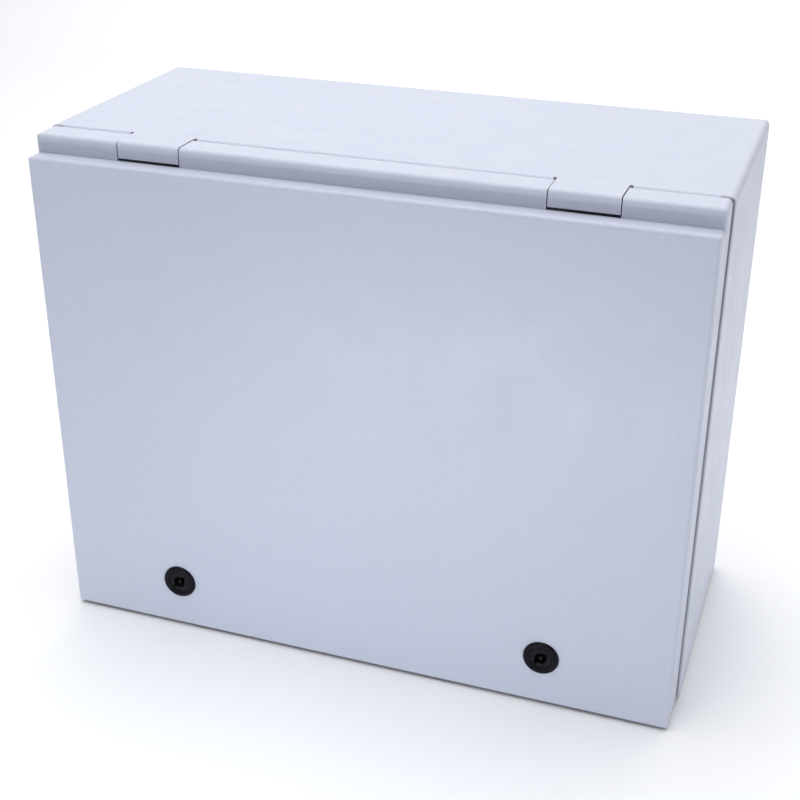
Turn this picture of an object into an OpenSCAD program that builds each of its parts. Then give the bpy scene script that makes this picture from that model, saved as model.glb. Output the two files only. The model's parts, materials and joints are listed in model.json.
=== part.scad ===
// Automatic transfer switch in a wall-mounted steel enclosure with a top-hinged door.
// Frame: +Z up, the door faces -Y, origin at the middle of the bottom of the bounding box.

/* [Enclosure] */
// Width of the body
body_w = 500; // [480:1:540]
// Height of the body
body_h = 400; // [396:1:410]
// Depth from the door's front face to the back of the body
overall_d = 236; // [232:1:260]
// Thickness of the folded sheet
sheet = 1.5; // [1.2:0.1:1.6]
// Outside radius of the folded edges
bend_r = 3; // [2.5:0.5:3.5]
// Radius of the body's corners seen from the front
corner_r = 5; // [4.5:0.5:6]
// Width of the front rim, from the outside to the inside of the sealing lip
rim_w = 23.5; // [23:0.25:24]
// Distance between the wall fixing holes, across
fixing_w = 460; // [450:1:460]
// Distance between the wall fixing holes, up
fixing_h = 360; // [350:1:360]
// Radius of the wall fixing holes
fixing_r = 4.5; // [3:0.25:5]

/* [Door] */
// Gap between the door's rear edge and the body's rim
door_gap = 2; // [1.8:0.1:2.5]
// How much wider that gap is at the bottom than at the top
gap_spread = 2.5; // [0:0.5:3]
// How far the door's sides lie inside the body's sides
door_inset = 2; // [1.5:0.5:3]
// Depth of the door's band, behind the step
band_d = 22; // [22:0.5:24]
// How far the front panel stands in front of the band
step_d = 14; // [12:0.5:16]
// How far the step lies below the top of the body
step_drop = 14; // [13.5:0.5:15]
// Thickness of the foam seal
seal_t = 8; // [6:0.5:9]
// Width of the foam seal
seal_w = 10; // [8:0.5:10]

/* [Hinges] */
// Distance between the hinge tabs' middles
hinge_spacing = 314; // [300:1:330]
// Width of a hinge tab
tab_w = 48; // [44:1:52]
// Height of a tab's front fold
tab_fold = 12; // [11:0.1:12.4]
// Radius of a hinge pin
pin_r = 2.5; // [2:0.1:2.7]
// Running clearance round a hinge pin
pin_play = 0.05; // [0.03:0.01:0.1]

/* [Locks] */
// Distance between the locks
lock_spacing = 300; // [280:1:320]
// Height of the locks above the bottom
lock_z = 43; // [42:0.5:48]
// Radius of a lock's flange
lock_flange_r = 13.75; // [13:0.25:14]
// How far a lock stands in front of the door
lock_proud = 3; // [2.5:0.5:3.5]
// Radius of the turning insert
rotor_r = 8; // [7.5:0.25:8.5]
// Reach of a cam from the lock's axis
cam_reach = 34; // [30:1:36]

/* [Mounting plate] */
// Width of the plate
plate_w = 430; // [430:1:434]
// Height of the plate
plate_h = 330; // [330:1:336]
// Thickness of the plate
plate_t = 2; // [1.5:0.5:3]
// Distance from the plate's front face to the back of the body
plate_stand = 18; // [16:1:20]

/* [Switchgear] */
// Width of one breaker pole
pole_w = 18; // [17.5:0.25:18]
// Travel of a breaker's handle, in degrees
handle_travel = 80; // [60:5:80]
// Travel of a contactor's carrier
carrier_travel = 4.5; // [3.5:0.5:4.5]
// Travel of a push button
button_travel = 1.5; // [1:0.25:2]
// Radius of the power wires
power_wire_r = 2.6; // [2:0.1:2.8]
// Radius of the control wires
control_wire_r = 1.2; // [1:0.1:1.4]

/* [Hidden] */

// Straight pieces in a rounded corner of an outline
arc_steps = 6;
// Small distance that makes cuts run past a face
past = 1;

// The main planes, from front to back
back_y = (overall_d + lock_proud) / 2;
panel_y = back_y - overall_d;
band_y = panel_y + step_d;
door_back_y = band_y + band_d;
rim_y = door_back_y + door_gap;
seal_back_y = panel_y + sheet + seal_t;
lip_y = seal_back_y + 0.5;
plate_y = back_y - plate_stand;

// The door's outside
door_x = body_w / 2 - door_inset;
door_bottom = 1.5;
door_top = body_h - 0.4;
ledge_z = body_h - step_drop;

// The hinge axis, along X
hinge_y = band_y + 10;
hinge_z = body_h - 6.5;
tab_gap = 0.7;
ear_t = 3;
block_w = tab_w - 2;

// The lock, measured along its own axis from the door's front face
housing_r = 11;
rotor_play = 0.08;
housing_end = 24;
cam_t = 3;
cam_start = rim_y + sheet + 2.5 - panel_y;
cam_end = cam_start + cam_t;
shank_w = 8;

// Rows of devices on the mounting plate
rail_y = plate_y - 7.5;
top_rail_z = 315;
middle_rail_z = 175;
bottom_rail_z = 63;
contactor_z = 180;
mains_x = -125;
generator_x = -45;
controller_x = 70;
control_breaker_x = 147;
relay_xs = [30, 60, 90];
phase_monitor_x = 135;
plate_bottom = (body_h - plate_h) / 2;
stud_x = 206;
stud_dz = 150;
stud_r = 4;

// DIN-rail cases: height, and the depths of the shoulder and of the nose
case_h = 90;
case_shoulder = 44;
case_nose = 66;
nose_h = 45;
case_entry_y = -24;

// Contactors, measured from the plate's front face
contactor_w = 70;
contactor_h = 120;
base_d = 38;
cover_d = 100;
contactor_step = 64;
entry_d = 50;
entry_depth = 8;
carrier_top = 74;
carrier_bottom = 45;

// Breaker handles, measured from the rail's front face
handle_axis_y = -58;
handle_r = 6.5;

// ---------------------------------------------------------------- outlines

function arc(cx, cy, r, a0, a1) = [
    for (i = [0 : arc_steps])
        let (a = a0 + (a1 - a0) * i / arc_steps)
            [cx + r * cos(a), cy + r * sin(a)]
];

function rounded_rect(x, y, r) = concat(
    arc(x[1] - r, y[1] - r, r, 0, 90),
    arc(x[0] + r, y[1] - r, r, 90, 180),
    arc(x[0] + r, y[0] + r, r, 180, 270),
    arc(x[1] - r, y[0] + r, r, 270, 360)
);

// An outline in Y and Z, extruded along X
module along_x(x) {
    translate([x[0], 0, 0]) rotate([90, 0, 90]) linear_extrude(x[1] - x[0]) children();
}

// An outline in X and Z, extruded along Y
module along_y(y) {
    translate([0, y[1], 0]) rotate([90, 0, 0]) linear_extrude(y[1] - y[0]) children();
}

// An outline in X and Y, extruded along Z
module along_z(z) {
    translate([0, 0, z[0]]) linear_extrude(z[1] - z[0]) children();
}

// A plain block between two limits each way
module block(x, y, z) {
    translate([x[0], y[0], z[0]]) cube([x[1] - x[0], y[1] - y[0], z[1] - z[0]]);
}

// A box with rounded corners seen from the front and rounded edges round it
module rounded_box(x, y, z, r_corner, r_edge) {
    intersection() {
        along_y(y) polygon(rounded_rect(x, z, r_corner));
        along_x(x) polygon(rounded_rect(y, z, r_edge));
        along_z(z) polygon(rounded_rect(x, y, r_edge));
    }
}

// A cylinder along Y, from y0 to y1
module rod_y(x, z, y, r, n = 32) {
    translate([x, y[1], z]) rotate([90, 0, 0]) cylinder(r = r, h = y[1] - y[0], $fn = n);
}

// A cylinder along X, from x0 to x1
module rod_x(x, y, z, r, n = 32) {
    translate([x[0], y, z]) rotate([0, 90, 0]) cylinder(r = r, h = x[1] - x[0], $fn = n);
}

// A flat ring along Y whose outline is a rounded rectangle, inset from the body's outside
module ring_y(y, inset_out, inset_in, r) {
    half = body_w / 2;
    along_y(y) difference() {
        polygon(rounded_rect([inset_out - half, half - inset_out],
                             [inset_out, body_h - inset_out], r + inset_in - inset_out));
        polygon(rounded_rect([inset_in - half, half - inset_in],
                             [inset_in, body_h - inset_in], r));
    }
}

module mirrored_x() {
    children();
    mirror([1, 0, 0]) children();
}

// ---------------------------------------------------------------- swept wires

function unit(v) = v / norm(v);

// Direction of a path at one of its points, weighted by the distances to its neighbours
function heading(p, i) =
    i == 0 ? unit(p[1] - p[0]) : i == len(p) - 1 ? unit(p[i] - p[i - 1]) :
    let (a = norm(p[i] - p[i - 1]), b = norm(p[i + 1] - p[i]))
        (b * (p[i] - p[i - 1]) / a + a * (p[i + 1] - p[i]) / b) / (a + b);

// A smooth path through the points, with some steps between each pair
function smooth(p, steps) = concat(
    [for (i = [0 : len(p) - 2])
        let (d = p[i + 1] - p[i], a = norm(d) * heading(p, i), b = norm(d) * heading(p, i + 1))
            for (k = [0 : steps - 1])
                let (t = k / steps)
                    p[i] + t * a + t * t * (3 * d - 2 * a - b) + t * t * t * (a + b - 2 * d)],
    [p[len(p) - 1]]
);

function tangent(p, i) = unit(p[min(i + 1, len(p) - 1)] - p[max(i - 1, 0)]);

function square_to(u, t) = unit(u - (u * t) * t);

// One side direction for each point of the path, carried along without twist
function side_directions(p, i, u) =
    i == len(p) ? [] : let (n = square_to(u, tangent(p, i))) concat([n], side_directions(p, i + 1, n));

module tube(p, r, start_side = [1, 0, 0], n = 8) {
    sides = side_directions(p, 0, start_side);
    rings = [for (i = [0 : len(p) - 1])
        let (t = tangent(p, i), b = cross(t, sides[i]))
            for (j = [0 : n - 1]) p[i] + r * (cos(360 * j / n) * sides[i] + sin(360 * j / n) * b)];
    walls = [for (i = [0 : len(p) - 2]) for (j = [0 : n - 1])
        let (k = (j + 1) % n)
            [i * n + j, (i + 1) * n + j, (i + 1) * n + k, i * n + k]];
    start = [for (j = [0 : n - 1]) j];
    end = [for (j = [0 : n - 1]) len(p) * n - 1 - j];
    polyhedron(points = rings, faces = concat([start], walls, [end]), convexity = 4);
}

// ---------------------------------------------------------------- enclosure

// Top sheet carried forward over the door's notch and folded down in front
module hinge_tab(x) {
    r = bend_r;
    root_y = rim_y + 6;
    fold_z = body_h - tab_fold;
    outer = arc(band_y + r, body_h - r, r, 90, 180);
    inner = arc(band_y + r, body_h - r, r - sheet, 180, 90);
    along_x([x - tab_w / 2, x + tab_w / 2]) polygon(concat(
        [[root_y, body_h]], outer, [[band_y, fold_z], [band_y + sheet, fold_z]],
        inner, [[root_y, body_h - sheet]]
    ));
}

module enclosure_body() {
    x = body_w / 2;
    relief_r = 1.3;
    gland_x = 110;
    gland_y = [-20, 60];
    color([0.80, 0.82, 0.88]) difference() {
        union() {
            difference() {
                rounded_box([-x, x], [rim_y, back_y], [0, body_h], corner_r, bend_r);
                rounded_box([sheet - x, x - sheet], [rim_y + sheet, back_y - sheet],
                            [sheet, body_h - sheet], corner_r - sheet, bend_r - sheet);
                along_y([rim_y - past, rim_y + 2 * sheet])
                    polygon(rounded_rect([rim_w - x, x - rim_w], [rim_w, body_h - rim_w], 2));
            }
            ring_y([lip_y, rim_y + sheet / 2], rim_w - sheet, rim_w, 2);
            mirrored_x() hinge_tab(hinge_spacing / 2);
            mirrored_x() for (dz = [-stud_dz, stud_dz])
                rod_y(stud_x, body_h / 2 + dz, [plate_y - 10, back_y - sheet / 2], stud_r);
        }
        // Relief holes beside the tabs
        mirrored_x() for (dx = [-1, 1])
            translate([hinge_spacing / 2 + dx * (tab_w / 2 + relief_r), rim_y + relief_r, body_h - 6])
                cylinder(r = relief_r, h = 10, $fn = 16);
        // Wall fixing holes
        mirrored_x() for (dz = [-1, 1])
            rod_y(fixing_w / 2, body_h / 2 + dz * fixing_h / 2, [back_y - 5, back_y + past], fixing_r);
        // Opening that the gland plate closes
        block([-gland_x, gland_x], gland_y, [-past, sheet + past]);
    }
}

module hinge_blocks() {
    color([0.80, 0.82, 0.88]) mirrored_x() difference() {
        block([hinge_spacing / 2 - block_w / 2, hinge_spacing / 2 + block_w / 2],
              [hinge_y - 5, hinge_y + 5], [hinge_z - 5, body_h - sheet]);
        rod_x([hinge_spacing / 2 - block_w, hinge_spacing / 2 + block_w],
              hinge_y, hinge_z, pin_r + pin_play);
    }
}

module mounting_plate() {
    color([0.75, 0.76, 0.74]) difference() {
        along_y([plate_y, plate_y + plate_t])
            polygon(rounded_rect([-plate_w / 2, plate_w / 2],
                                 [plate_bottom, plate_bottom + plate_h], 4));
        mirrored_x() for (dz = [-stud_dz, stud_dz])
            rod_y(stud_x, body_h / 2 + dz, [plate_y - past, plate_y + plate_t + past], stud_r + 0.5);
    }
}

// A hexagon nut on an axis along Y
module nut_y(x, z, y, r, bore_r) {
    difference() {
        rod_y(x, z, y, r, 6);
        rod_y(x, z, [y[0] - past, y[1] + past], bore_r, 24);
    }
}

module plate_nuts() {
    nut_t = 6.5;
    nut_r = 7.5;
    fronts = [plate_y - nut_t, plate_y + plate_t];
    color("silver") mirrored_x() for (dz = [-stud_dz, stud_dz]) for (y = fronts)
        nut_y(stud_x, body_h / 2 + dz, [y, y + nut_t], nut_r, stud_r + 0.05);
}

gland_plate_x = 125;
gland_plate_y = [-35, 75];
gland_gasket_t = 1.5;
gland_plate_t = 2;
gland_screw_xs = [-117, 0, 117];
gland_screw_ys = [-28, 68];
entry_y = 20;
entry_holes = [[-70, 16.25], [0, 16.25], [66, 12.75]];

module gland_plate_holes(r) {
    for (x = gland_screw_xs) for (y = gland_screw_ys)
        translate([x, y, 0]) cylinder(r = r, h = 12, $fn = 20);
}

module gland_plate() {
    z = sheet + gland_gasket_t;
    color([0.75, 0.76, 0.74]) difference() {
        along_z([z, z + gland_plate_t])
            polygon(rounded_rect([-gland_plate_x, gland_plate_x], gland_plate_y, 3));
        for (hole = entry_holes)
            translate([hole[0], entry_y, 0]) cylinder(r = hole[1], h = 12, $fn = 48);
        gland_plate_holes(2.2);
    }
}

module gland_plate_gasket() {
    color([0.15, 0.15, 0.15]) difference() {
        along_z([sheet, sheet + gland_gasket_t])
            polygon(rounded_rect([-gland_plate_x, gland_plate_x], gland_plate_y, 3));
        block([-108, 108], [-18, 58], [0, 12]);
        gland_plate_holes(2.4);
    }
}

module gland_plate_screws() {
    head_z = sheet + gland_gasket_t + gland_plate_t;
    color("silver") for (x = gland_screw_xs) for (y = gland_screw_ys) translate([x, y, 0]) {
        difference() {
            translate([0, 0, head_z]) cylinder(r = 4, h = 2.6, $fn = 24);
            translate([-3, -0.5, head_z + 1.2]) cube([6, 1, 3]);
        }
        translate([0, 0, sheet]) cylinder(r = 2, h = head_z - sheet + 0.5, $fn = 20);
    }
}

earth_x = 200;
top_stud_y = -50;
door_stud_z = 350;
floor_stud = [176, 30];
earth_stud_r = 3;
braid_w = 12;
braid_t = 1.6;
door_lug_y = panel_y + sheet + 4;
body_lug_z = body_h - sheet - 6;

module body_earth_studs() {
    lug_t = 2;
    color([0.80, 0.65, 0.30]) {
        // Stud under the top sheet, for the door's strap: spacer, lug, nut
        translate([earth_x, top_stud_y, body_h - sheet - 18]) cylinder(r = earth_stud_r, h = 18, $fn = 24);
        translate([earth_x, top_stud_y, body_lug_z + braid_t])
            cylinder(r = 4.5, h = body_h - sheet - body_lug_z - braid_t, $fn = 24);
        translate([earth_x, top_stud_y, body_lug_z - 4]) cylinder(r = 5.5, h = 4, $fn = 6);
        // Stud on the bottom sheet, for the earth bar's wire
        translate([floor_stud[0], floor_stud[1], sheet]) cylinder(r = earth_stud_r, h = 18, $fn = 24);
        translate([floor_stud[0], floor_stud[1], sheet + 10]) cylinder(r = 5.5, h = 4, $fn = 6);
        translate([floor_stud[0], floor_stud[1], sheet + 10 - lug_t]) cylinder(r = 5.5, h = lug_t, $fn = 32);
    }
}

// ---------------------------------------------------------------- door

// Outside of the door, or its inside when the faces are moved in by a sheet
module door_block(inset) {
    x = door_x - inset;
    open_y = door_back_y + 10;
    r_corner = corner_r - 1 - inset;
    r_edge = bend_r - inset;
    rounded_box([-x, x], [panel_y + inset, open_y], [door_bottom + inset, ledge_z - inset],
                r_corner, r_edge);
    rounded_box([-x, x], [band_y + inset, open_y], [body_h / 2, door_top - inset],
                r_corner, r_edge);
}

// Ear at one side of a notch, welded inside the band, that holds the pin
module hinge_ear(x) {
    r = 4.6;
    block([x, x + ear_t], [band_y + sheet - 0.2, hinge_y], [hinge_z - r, hinge_z + r]);
    rod_x([x, x + ear_t], hinge_y, hinge_z, r);
}

module door_shell() {
    notch = tab_w / 2 + tab_gap;
    hinge_x = hinge_spacing / 2;
    color([0.78, 0.80, 0.87]) difference() {
        union() {
            difference() {
                intersection() {
                    difference() {
                        door_block(0);
                        door_block(sheet);
                    }
                    along_x([-body_w, body_w]) polygon([
                        [panel_y - past, 0], [door_back_y - gap_spread, 0],
                        [door_back_y, body_h], [panel_y - past, body_h]
                    ]);
                }
                mirrored_x() block([hinge_x - notch, hinge_x + notch],
                                   [band_y, door_back_y + past], [ledge_z - 5, body_h + past]);
                mirrored_x() rod_y(lock_spacing / 2, lock_z, [panel_y - past, panel_y + 5], housing_r + 0.1);
            }
            mirrored_x() {
                hinge_ear(hinge_x + notch);
                hinge_ear(hinge_x - notch - ear_t);
            }
        }
        mirrored_x() rod_x([hinge_x - tab_w, hinge_x + tab_w], hinge_y, hinge_z, pin_r);
    }
}

module door_seal() {
    mid = rim_w - sheet / 2;
    color([0.12, 0.12, 0.13])
        ring_y([panel_y + sheet, seal_back_y], mid - seal_w / 2, mid + seal_w / 2, 3);
}

module hinge_pins() {
    half = tab_w / 2 + tab_gap + ear_t;
    color("silver") mirrored_x() {
        rod_x([hinge_spacing / 2 - half - 0.5, hinge_spacing / 2 + half], hinge_y, hinge_z, pin_r);
        rod_x([hinge_spacing / 2 + half, hinge_spacing / 2 + half + 1.5], hinge_y, hinge_z, pin_r + 1.5);
    }
}

module door_earth_stud() {
    y = panel_y + sheet;
    color([0.80, 0.65, 0.30]) {
        rod_y(earth_x, door_stud_z, [y, y + 14], earth_stud_r, 24);
        rod_y(earth_x, door_stud_z, [y, door_lug_y], 4.5, 24);
        rod_y(earth_x, door_stud_z, [door_lug_y + braid_t, door_lug_y + braid_t + 4], 5.5, 6);
    }
}

// Flat braid that hangs in a loop between the door and the top sheet, in the plane of the two studs
module earth_strap() {
    route = [
        [door_lug_y + 0.8, door_stud_z - 4], [door_lug_y + 0.8, door_stud_z - 14],
        [door_lug_y + 6, door_stud_z - 27], [-92, door_stud_z - 31], [-78, door_stud_z - 22],
        [-68, door_stud_z - 2], [-63.5, door_stud_z + 20], [-62, door_stud_z + 34],
        [top_stud_y - 9.6, body_lug_z - 1.5], [top_stud_y - 6, body_lug_z + 0.8],
        [top_stud_y - 4, body_lug_z + 0.8]
    ];
    path = smooth(route, 4);
    left = [for (i = [0 : len(path) - 1])
        let (t = tangent(path, i)) path[i] + braid_t / 2 * [-t[1], t[0]]];
    right = [for (i = [len(path) - 1 : -1 : 0])
        let (t = tangent(path, i)) path[i] - braid_t / 2 * [-t[1], t[0]]];
    color([0.72, 0.52, 0.36]) difference() {
        union() {
            along_x([earth_x - braid_w / 2, earth_x + braid_w / 2]) polygon(concat(left, right));
            rod_y(earth_x, door_stud_z, [door_lug_y, door_lug_y + braid_t], 6);
            translate([earth_x, top_stud_y, body_lug_z]) cylinder(r = 6, h = braid_t, $fn = 32);
        }
        rod_y(earth_x, door_stud_z, [panel_y, door_lug_y + 10], earth_stud_r + 0.1, 24);
        translate([earth_x, top_stud_y, body_lug_z - 10]) cylinder(r = earth_stud_r + 0.1, h = 20, $fn = 24);
    }
}

// ---------------------------------------------------------------- locks

// Puts lock parts at a lock: local +Z points out of the door, local Y is up
module at_lock(side) {
    translate([side * lock_spacing / 2, panel_y, lock_z]) rotate([90, 0, 0]) children();
}

module lock_housing() {
    bore_r = rotor_r + rotor_play;
    dome = arc(lock_flange_r - 2.6, 0.4, 2.6, 0, 90);
    rotate_extrude($fn = 96) polygon(concat(
        [[bore_r, -housing_end], [housing_r, -housing_end], [housing_r, 0], [lock_flange_r, 0]],
        dome, [[lock_flange_r - 3.6, lock_proud], [bore_r + 0.9, lock_proud - 0.9],
               [bore_r, lock_proud - 0.9]]
    ));
}

module lock_housings() {
    color([0.07, 0.07, 0.08]) for (side = [-1, 1]) at_lock(side) lock_housing();
}

module lock_nuts() {
    nut_t = 5;
    color([0.6, 0.6, 0.62]) for (side = [-1, 1]) at_lock(side) translate([0, 0, -sheet - nut_t])
        difference() {
            cylinder(r = 14.5, h = nut_t, $fn = 6);
            translate([0, 0, -past]) cylinder(r = housing_r + 0.05, h = nut_t + 2 * past, $fn = 64);
        }
}

// Insert with a double-bit key socket and a centre pin, on a square shank for the cam
module lock_rotor() {
    face = lock_proud - 1.4;
    socket_r = 4.7;
    socket_depth = 9;
    wing_w = 3;
    wing_reach = 6.5;
    pin = 1.35;
    difference() {
        union() {
            translate([0, 0, -housing_end - 2]) cylinder(r = rotor_r, h = housing_end + 2 + face, $fn = 64);
            translate([0, 0, -housing_end - 2]) cylinder(r = rotor_r + 1.5, h = 1.8, $fn = 64);
        }
        translate([0, 0, face - socket_depth]) cylinder(r = socket_r, h = socket_depth + past, $fn = 48);
        rotate([0, 0, 45]) translate([-wing_reach, -wing_w / 2, face - socket_depth])
            cube([2 * wing_reach, wing_w, socket_depth + past]);
    }
    translate([0, 0, face - socket_depth - past]) cylinder(r = pin, h = socket_depth + past - 0.6, $fn = 24);
    translate([-shank_w / 2, -shank_w / 2, -cam_end])
        cube([shank_w, shank_w, cam_end - housing_end - 1]);
    translate([0, 0, -cam_end - 2]) cylinder(r = 6.5, h = 2, $fn = 32);
}

// Flat cam, lying level when the lock is open
module lock_cam(toward) {
    tip_r = 7;
    translate([0, 0, -cam_end]) difference() {
        union() {
            cylinder(r = 9, h = cam_t, $fn = 48);
            translate([toward * (cam_reach - tip_r), 0, 0]) cylinder(r = tip_r, h = cam_t, $fn = 48);
            translate([toward > 0 ? 0 : tip_r - cam_reach, -tip_r, 0])
                cube([cam_reach - tip_r, 2 * tip_r, cam_t]);
        }
        translate([-shank_w / 2, -shank_w / 2, -past]) cube([shank_w, shank_w, cam_t + 2 * past]);
    }
}

module left_lock_rotor() { color([0.10, 0.10, 0.11]) at_lock(-1) lock_rotor(); }
module right_lock_rotor() { color([0.10, 0.10, 0.11]) at_lock(1) lock_rotor(); }
module left_lock_cam() { color("silver") at_lock(-1) lock_cam(1); }
module right_lock_cam() { color("silver") at_lock(1) lock_cam(-1); }

// ---------------------------------------------------------------- rails and ducts

rails = [[[-165, 165], top_rail_z], [[3, 165], middle_rail_z], [[-165, 110], bottom_rail_z]];
slot_pitch = 25;

// Top-hat rail, 35 mm wide and 7.5 mm deep, its lips towards the front
module top_hat(x, z) {
    t = 1;
    lip = 17.5;
    web = 13.5;
    along_x(x) translate([rail_y, z]) polygon([
        [0, -lip], [t, -lip], [t, -web], [7.5, -web], [7.5, web], [t, web], [t, lip], [0, lip],
        [0, web - t], [7.5 - t, web - t], [7.5 - t, t - web], [0, t - web]
    ]);
}

function slot_xs(x) = [for (sx = [x[0] + 12 : slot_pitch : x[1] - 8]) sx];

module din_rails() {
    color([0.82, 0.82, 0.80]) difference() {
        for (rail = rails) top_hat(rail[0], rail[1]);
        for (rail = rails) for (x = slot_xs(rail[0])) along_y([rail_y, plate_y + past])
            polygon(rounded_rect([x - 7.5, x + 7.5], [rail[1] - 3.1, rail[1] + 3.1], 3));
    }
}

// Pan-head screws in the rails' end slots
module rail_screws() {
    floor_y = plate_y - 1;
    color("silver") for (rail = rails) {
        xs = slot_xs(rail[0]);
        for (x = [xs[0], xs[len(xs) - 1]]) difference() {
            union() {
                rod_y(x, rail[1], [floor_y - 3, floor_y], 5, 24);
                rod_y(x, rail[1], [floor_y - 1, plate_y], 2.5, 24);
            }
            block([x - 3.5, x + 3.5], [floor_y - 4, floor_y - 1.8], [rail[1] - 0.6, rail[1] + 0.6]);
        }
    }
}

duct_d = 50;
duct_w = 30;
left_duct_x = -181;
right_duct_x = 182;
middle_duct_z = 237;
upright_z = [40, 360];
middle_duct_x = [3, 165];

// Slotted U-channel along Z, in its own frame: middle at x = 0, back at y = 0
module duct(length) {
    wall = 1.5;
    difference() {
        block([-duct_w / 2, duct_w / 2], [-duct_d, 0], [0, length]);
        block([wall - duct_w / 2, duct_w / 2 - wall], [-duct_d - past, -wall], [-past, length + past]);
        for (z = [10 : 10 : length - 6])
            block([-duct_w, duct_w], [-duct_d + 6, -8], [z - 0.5, z + 4.5]);
    }
}

// Snap-on cover in the duct's frame
module duct_cover(length) {
    t = 1.5;
    block([-duct_w / 2 - t, duct_w / 2 + t], [-duct_d - t, -duct_d], [0, length]);
    for (x = [-duct_w / 2 - t, duct_w / 2]) block([x, x + t], [-duct_d - t, 5 - duct_d], [0, length]);
}

module at_ducts() {
    length = upright_z[1] - upright_z[0];
    for (x = [left_duct_x, right_duct_x]) translate([x, plate_y, upright_z[0]]) children(0);
    translate([middle_duct_x[0], plate_y, middle_duct_z]) rotate([0, 90, 0]) children(1);
}

module wiring_ducts() {
    color([0.62, 0.64, 0.66]) at_ducts() {
        duct(upright_z[1] - upright_z[0]);
        duct(middle_duct_x[1] - middle_duct_x[0]);
    }
}

module duct_covers() {
    color([0.62, 0.64, 0.66]) at_ducts() {
        duct_cover(upright_z[1] - upright_z[0]);
        duct_cover(middle_duct_x[1] - middle_duct_x[0]);
    }
}

// ---------------------------------------------------------------- DIN-rail devices

// Puts a device on a rail: its own y = 0 is the rail's front face
module on_rail(x, z) {
    translate([x, rail_y, z]) children();
}

// Plain case with shoulders and a nose, in the device's own frame
module din_case(w) {
    h = case_h / 2;
    n = nose_h / 2;
    along_x([-w / 2, w / 2]) polygon([
        [0, -h], [0, h], [-case_shoulder, h], [-case_shoulder, n], [-case_nose, n],
        [-case_nose, -n], [-case_shoulder, -n], [-case_shoulder, -h]
    ]);
}

screw_bore_r = 3.2;
screw_bore_d = 14;
screw_z = 35;
cable_bore_r = 3.6;

// Screw wells and cable entries at the top and bottom of a case
module case_terminals(xs) {
    for (x = xs) for (s = [-1, 1]) {
        rod_y(x, s * screw_z, [-case_shoulder - past, -case_shoulder + screw_bore_d], screw_bore_r, 24);
        translate([x, case_entry_y, s > 0 ? case_h / 2 - entry_depth : -case_h / 2 - past])
            cylinder(r = cable_bore_r, h = entry_depth + past, $fn = 24);
    }
}

function pole_xs(poles) = [for (i = [0 : poles - 1]) (i - (poles - 1) / 2) * pole_w];

module breaker(poles) {
    xs = pole_xs(poles);
    groove = 0.6;
    difference() {
        din_case(poles * pole_w);
        case_terminals(xs);
        for (x = xs) {
            rod_x([x - 5, x + 5], handle_axis_y, 0, handle_r + 0.4);
            block([x - 5, x + 5], [-case_nose - past, handle_axis_y - 1], [-10.5, 10.5]);
        }
        if (poles > 1) for (i = [1 : poles - 1]) {
            x = xs[i] - pole_w / 2;
            block([x - groove / 2, x + groove / 2], [-case_nose - past, 0.8 - case_nose], [-30, 30]);
            for (s = [-1, 1]) block([x - groove / 2, x + groove / 2],
                [-case_shoulder - past, 0.8 - case_shoulder], [s * 35 - 9, s * 35 + 9]);
        }
    }
}

// Handle levers on drums, joined by a tie bar; they point down when the breaker is off
module breaker_handle(poles) {
    xs = pole_xs(poles);
    lever_w = 8.6;
    lever_t = 4;
    bar = [13, 17.5];
    half = xs[poles - 1] + lever_w / 2;
    translate([0, handle_axis_y, 0]) rotate([handle_travel / 2, 0, 0]) {
        for (x = xs) {
            rod_x([x - lever_w / 2, x + lever_w / 2], 0, 0, handle_r);
            block([x - lever_w / 2, x + lever_w / 2], [-bar[1], 0], [-lever_t / 2, lever_t / 2]);
        }
        block([-half, half], [-bar[1], -bar[0]], [-lever_t / 2, lever_t / 2]);
    }
}

module mains_breaker() { color([0.90, 0.90, 0.88]) on_rail(mains_x, top_rail_z) breaker(4); }
module generator_breaker() { color([0.90, 0.90, 0.88]) on_rail(generator_x, top_rail_z) breaker(4); }
module control_breaker() { color([0.90, 0.90, 0.88]) on_rail(control_breaker_x, top_rail_z) breaker(2); }
module mains_breaker_handle() { color([0.1, 0.1, 0.1]) on_rail(mains_x, top_rail_z) breaker_handle(4); }
module generator_breaker_handle() {
    color([0.1, 0.1, 0.1]) on_rail(generator_x, top_rail_z) breaker_handle(4);
}
module control_breaker_handle() {
    color([0.1, 0.1, 0.1]) on_rail(control_breaker_x, top_rail_z) breaker_handle(2);
}

controller_w = 108;
controller_entries = [for (k = [0 : 9]) 10 * k - 45];
lens_x = [-44, 8];
lens_z = [-15, 15];
button_xs = [18, 31, 44];
button_r = 4.2;
button_z = -8;

module controller_housing() {
    color([0.20, 0.21, 0.23]) on_rail(controller_x, top_rail_z) difference() {
        din_case(controller_w);
        block([lens_x[0] - 0.2, lens_x[1] + 0.2], [-case_nose - past, 3 - case_nose],
              [lens_z[0] - 0.2, lens_z[1] + 0.2]);
        for (x = button_xs) rod_y(x, button_z, [-case_nose - past, 12 - case_nose], button_r + 0.1, 32);
        for (x = controller_entries) for (s = [-1, 1]) {
            rod_y(x, s * screw_z, [-case_shoulder - past, -case_shoulder + 6], 2.4, 20);
            translate([x, case_entry_y, s > 0 ? case_h / 2 - entry_depth : -case_h / 2 - past])
                cylinder(r = 1.8, h = entry_depth + past, $fn = 20);
        }
    }
}

module controller_lens() {
    color([0.15, 0.35, 0.40]) on_rail(controller_x, top_rail_z)
        block(lens_x, [-case_nose, 3 - case_nose], lens_z);
}

// Button cap on a stem, in front of its bore's floor by more than its travel
module push_button(i) {
    cap = 3;
    on_rail(controller_x, top_rail_z)
        rod_y(button_xs[i], button_z, [-case_nose - cap, 12 - case_nose - button_travel - 0.5],
              button_r, 32);
}

module auto_button() { color([0.2, 0.6, 0.3]) push_button(0); }
module manual_button() { color([0.85, 0.7, 0.2]) push_button(1); }
module test_button() { color([0.2, 0.35, 0.75]) push_button(2); }

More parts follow.
